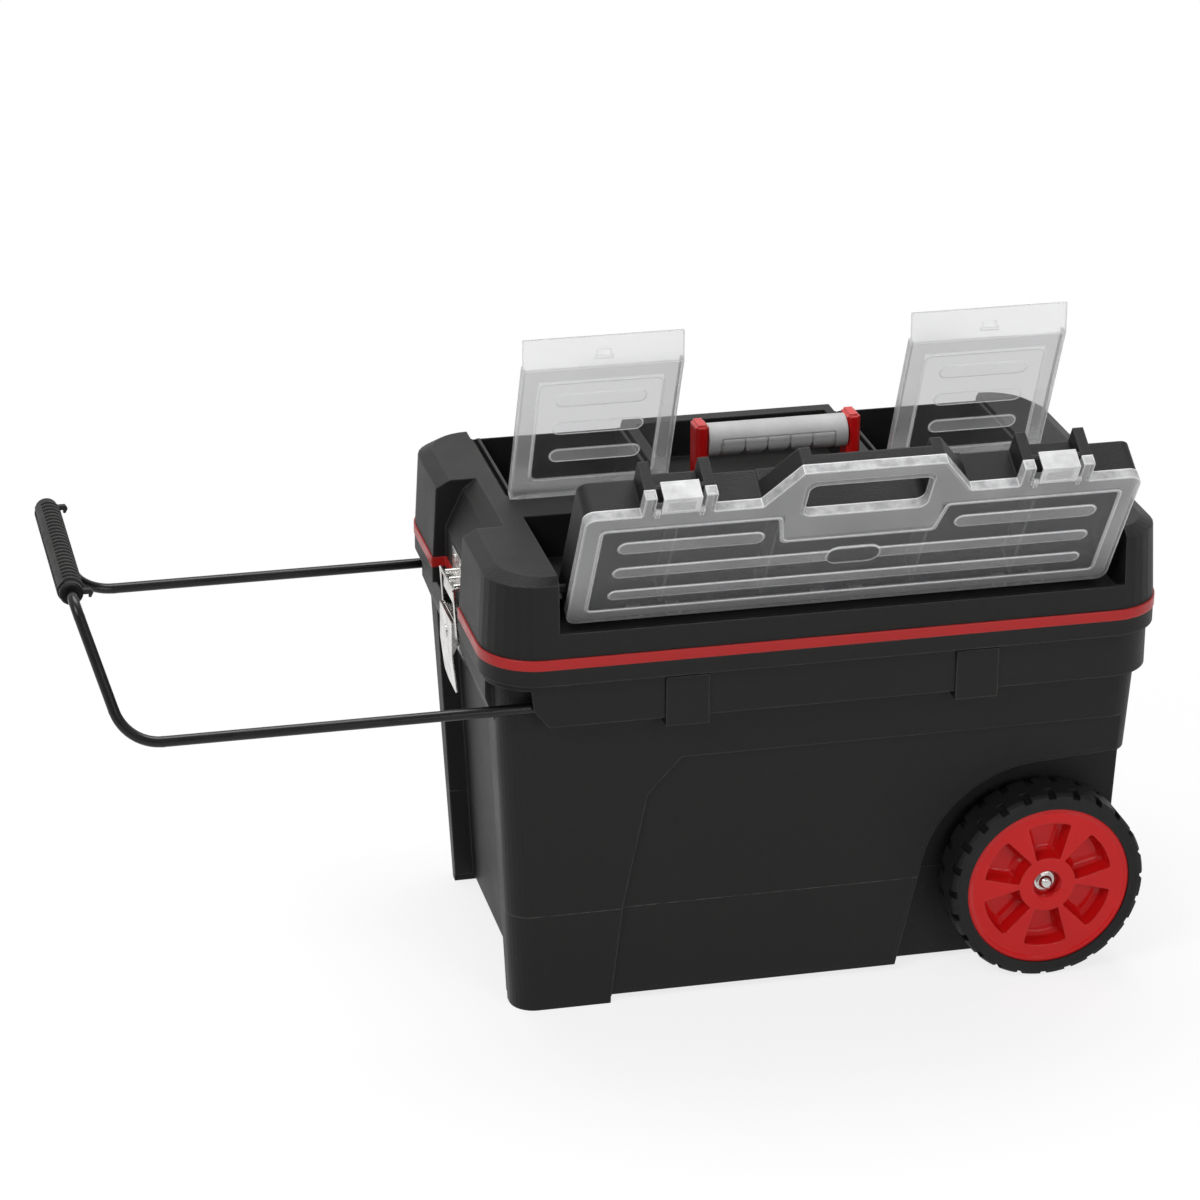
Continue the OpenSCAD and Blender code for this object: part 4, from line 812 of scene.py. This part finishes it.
def world():
    """White to the eye and through clear pieces; gloss meets it dimmer towards the front."""
    w = bpy.data.worlds.new("studio")
    w.use_nodes = True
    tree = w.node_tree
    tree.nodes.clear()

    def add(kind, **settings):
        node = tree.nodes.new("ShaderNode" + kind)
        for key, value in settings.items():
            setattr(node, key, value)
        return node

    def background(strength):
        node = add("Background")
        node.inputs["Color"].default_value = (1, 1, 1, 1)
        node.inputs["Strength"].default_value = strength
        return node

    def mix(factor, a, b):
        node = add("MixShader")
        for socket, source in zip(node.inputs, (factor, a, b)):
            tree.links.new(source, socket)
        return node.outputs[0]

    path = add("LightPath")
    aim = add("VectorMath", operation="DOT_PRODUCT")
    tree.links.new(add("TexCoord").outputs["Generated"], aim.inputs[0])
    aim.inputs[1].default_value = SKY_AIM
    sky = add("MapRange")
    for key, value in SKY_RANGE:
        sky.inputs[key].default_value = value
    tree.links.new(aim.outputs["Value"], sky.inputs["Value"])
    gloss = background(1.0)
    tree.links.new(sky.outputs[0], gloss.inputs["Strength"])
    seen = add("Math", operation="MAXIMUM")
    tree.links.new(path.outputs["Is Camera Ray"], seen.inputs[0])
    tree.links.new(path.outputs["Is Transmission Ray"], seen.inputs[1])
    lit = mix(path.outputs["Is Glossy Ray"], background(ROUND_LIGHT).outputs[0], gloss.outputs[0])
    out = add("OutputWorld")
    tree.links.new(mix(seen.outputs[0], lit, background(1.0).outputs[0]), out.inputs["Surface"])
    scene.world = w


def camera():
    """The photograph's viewing place and angle."""
    data = bpy.data.cameras.new("camera")
    data.lens = CAMERA_LENS
    data.sensor_width = 36.0
    data.clip_end = 100.0
    eye = bpy.data.objects.new("camera", data)
    right = CAMERA_RIGHT.normalized()
    back = right.cross(CAMERA_UP).normalized()
    up = back.cross(right)
    eye.matrix_world = Matrix((
        (right.x, up.x, back.x, CAMERA_PLACE.x),
        (right.y, up.y, back.y, CAMERA_PLACE.y),
        (right.z, up.z, back.z, CAMERA_PLACE.z),
        (0, 0, 0, 1)))
    scene.collection.objects.link(eye)
    scene.camera = eye


camera()
floor()
world()
for lamp_name, (place, size, power) in LAMPS.items():
    lamp(lamp_name, place, LAMP_TARGET, size, power)
scene.view_settings.view_transform = "Standard"
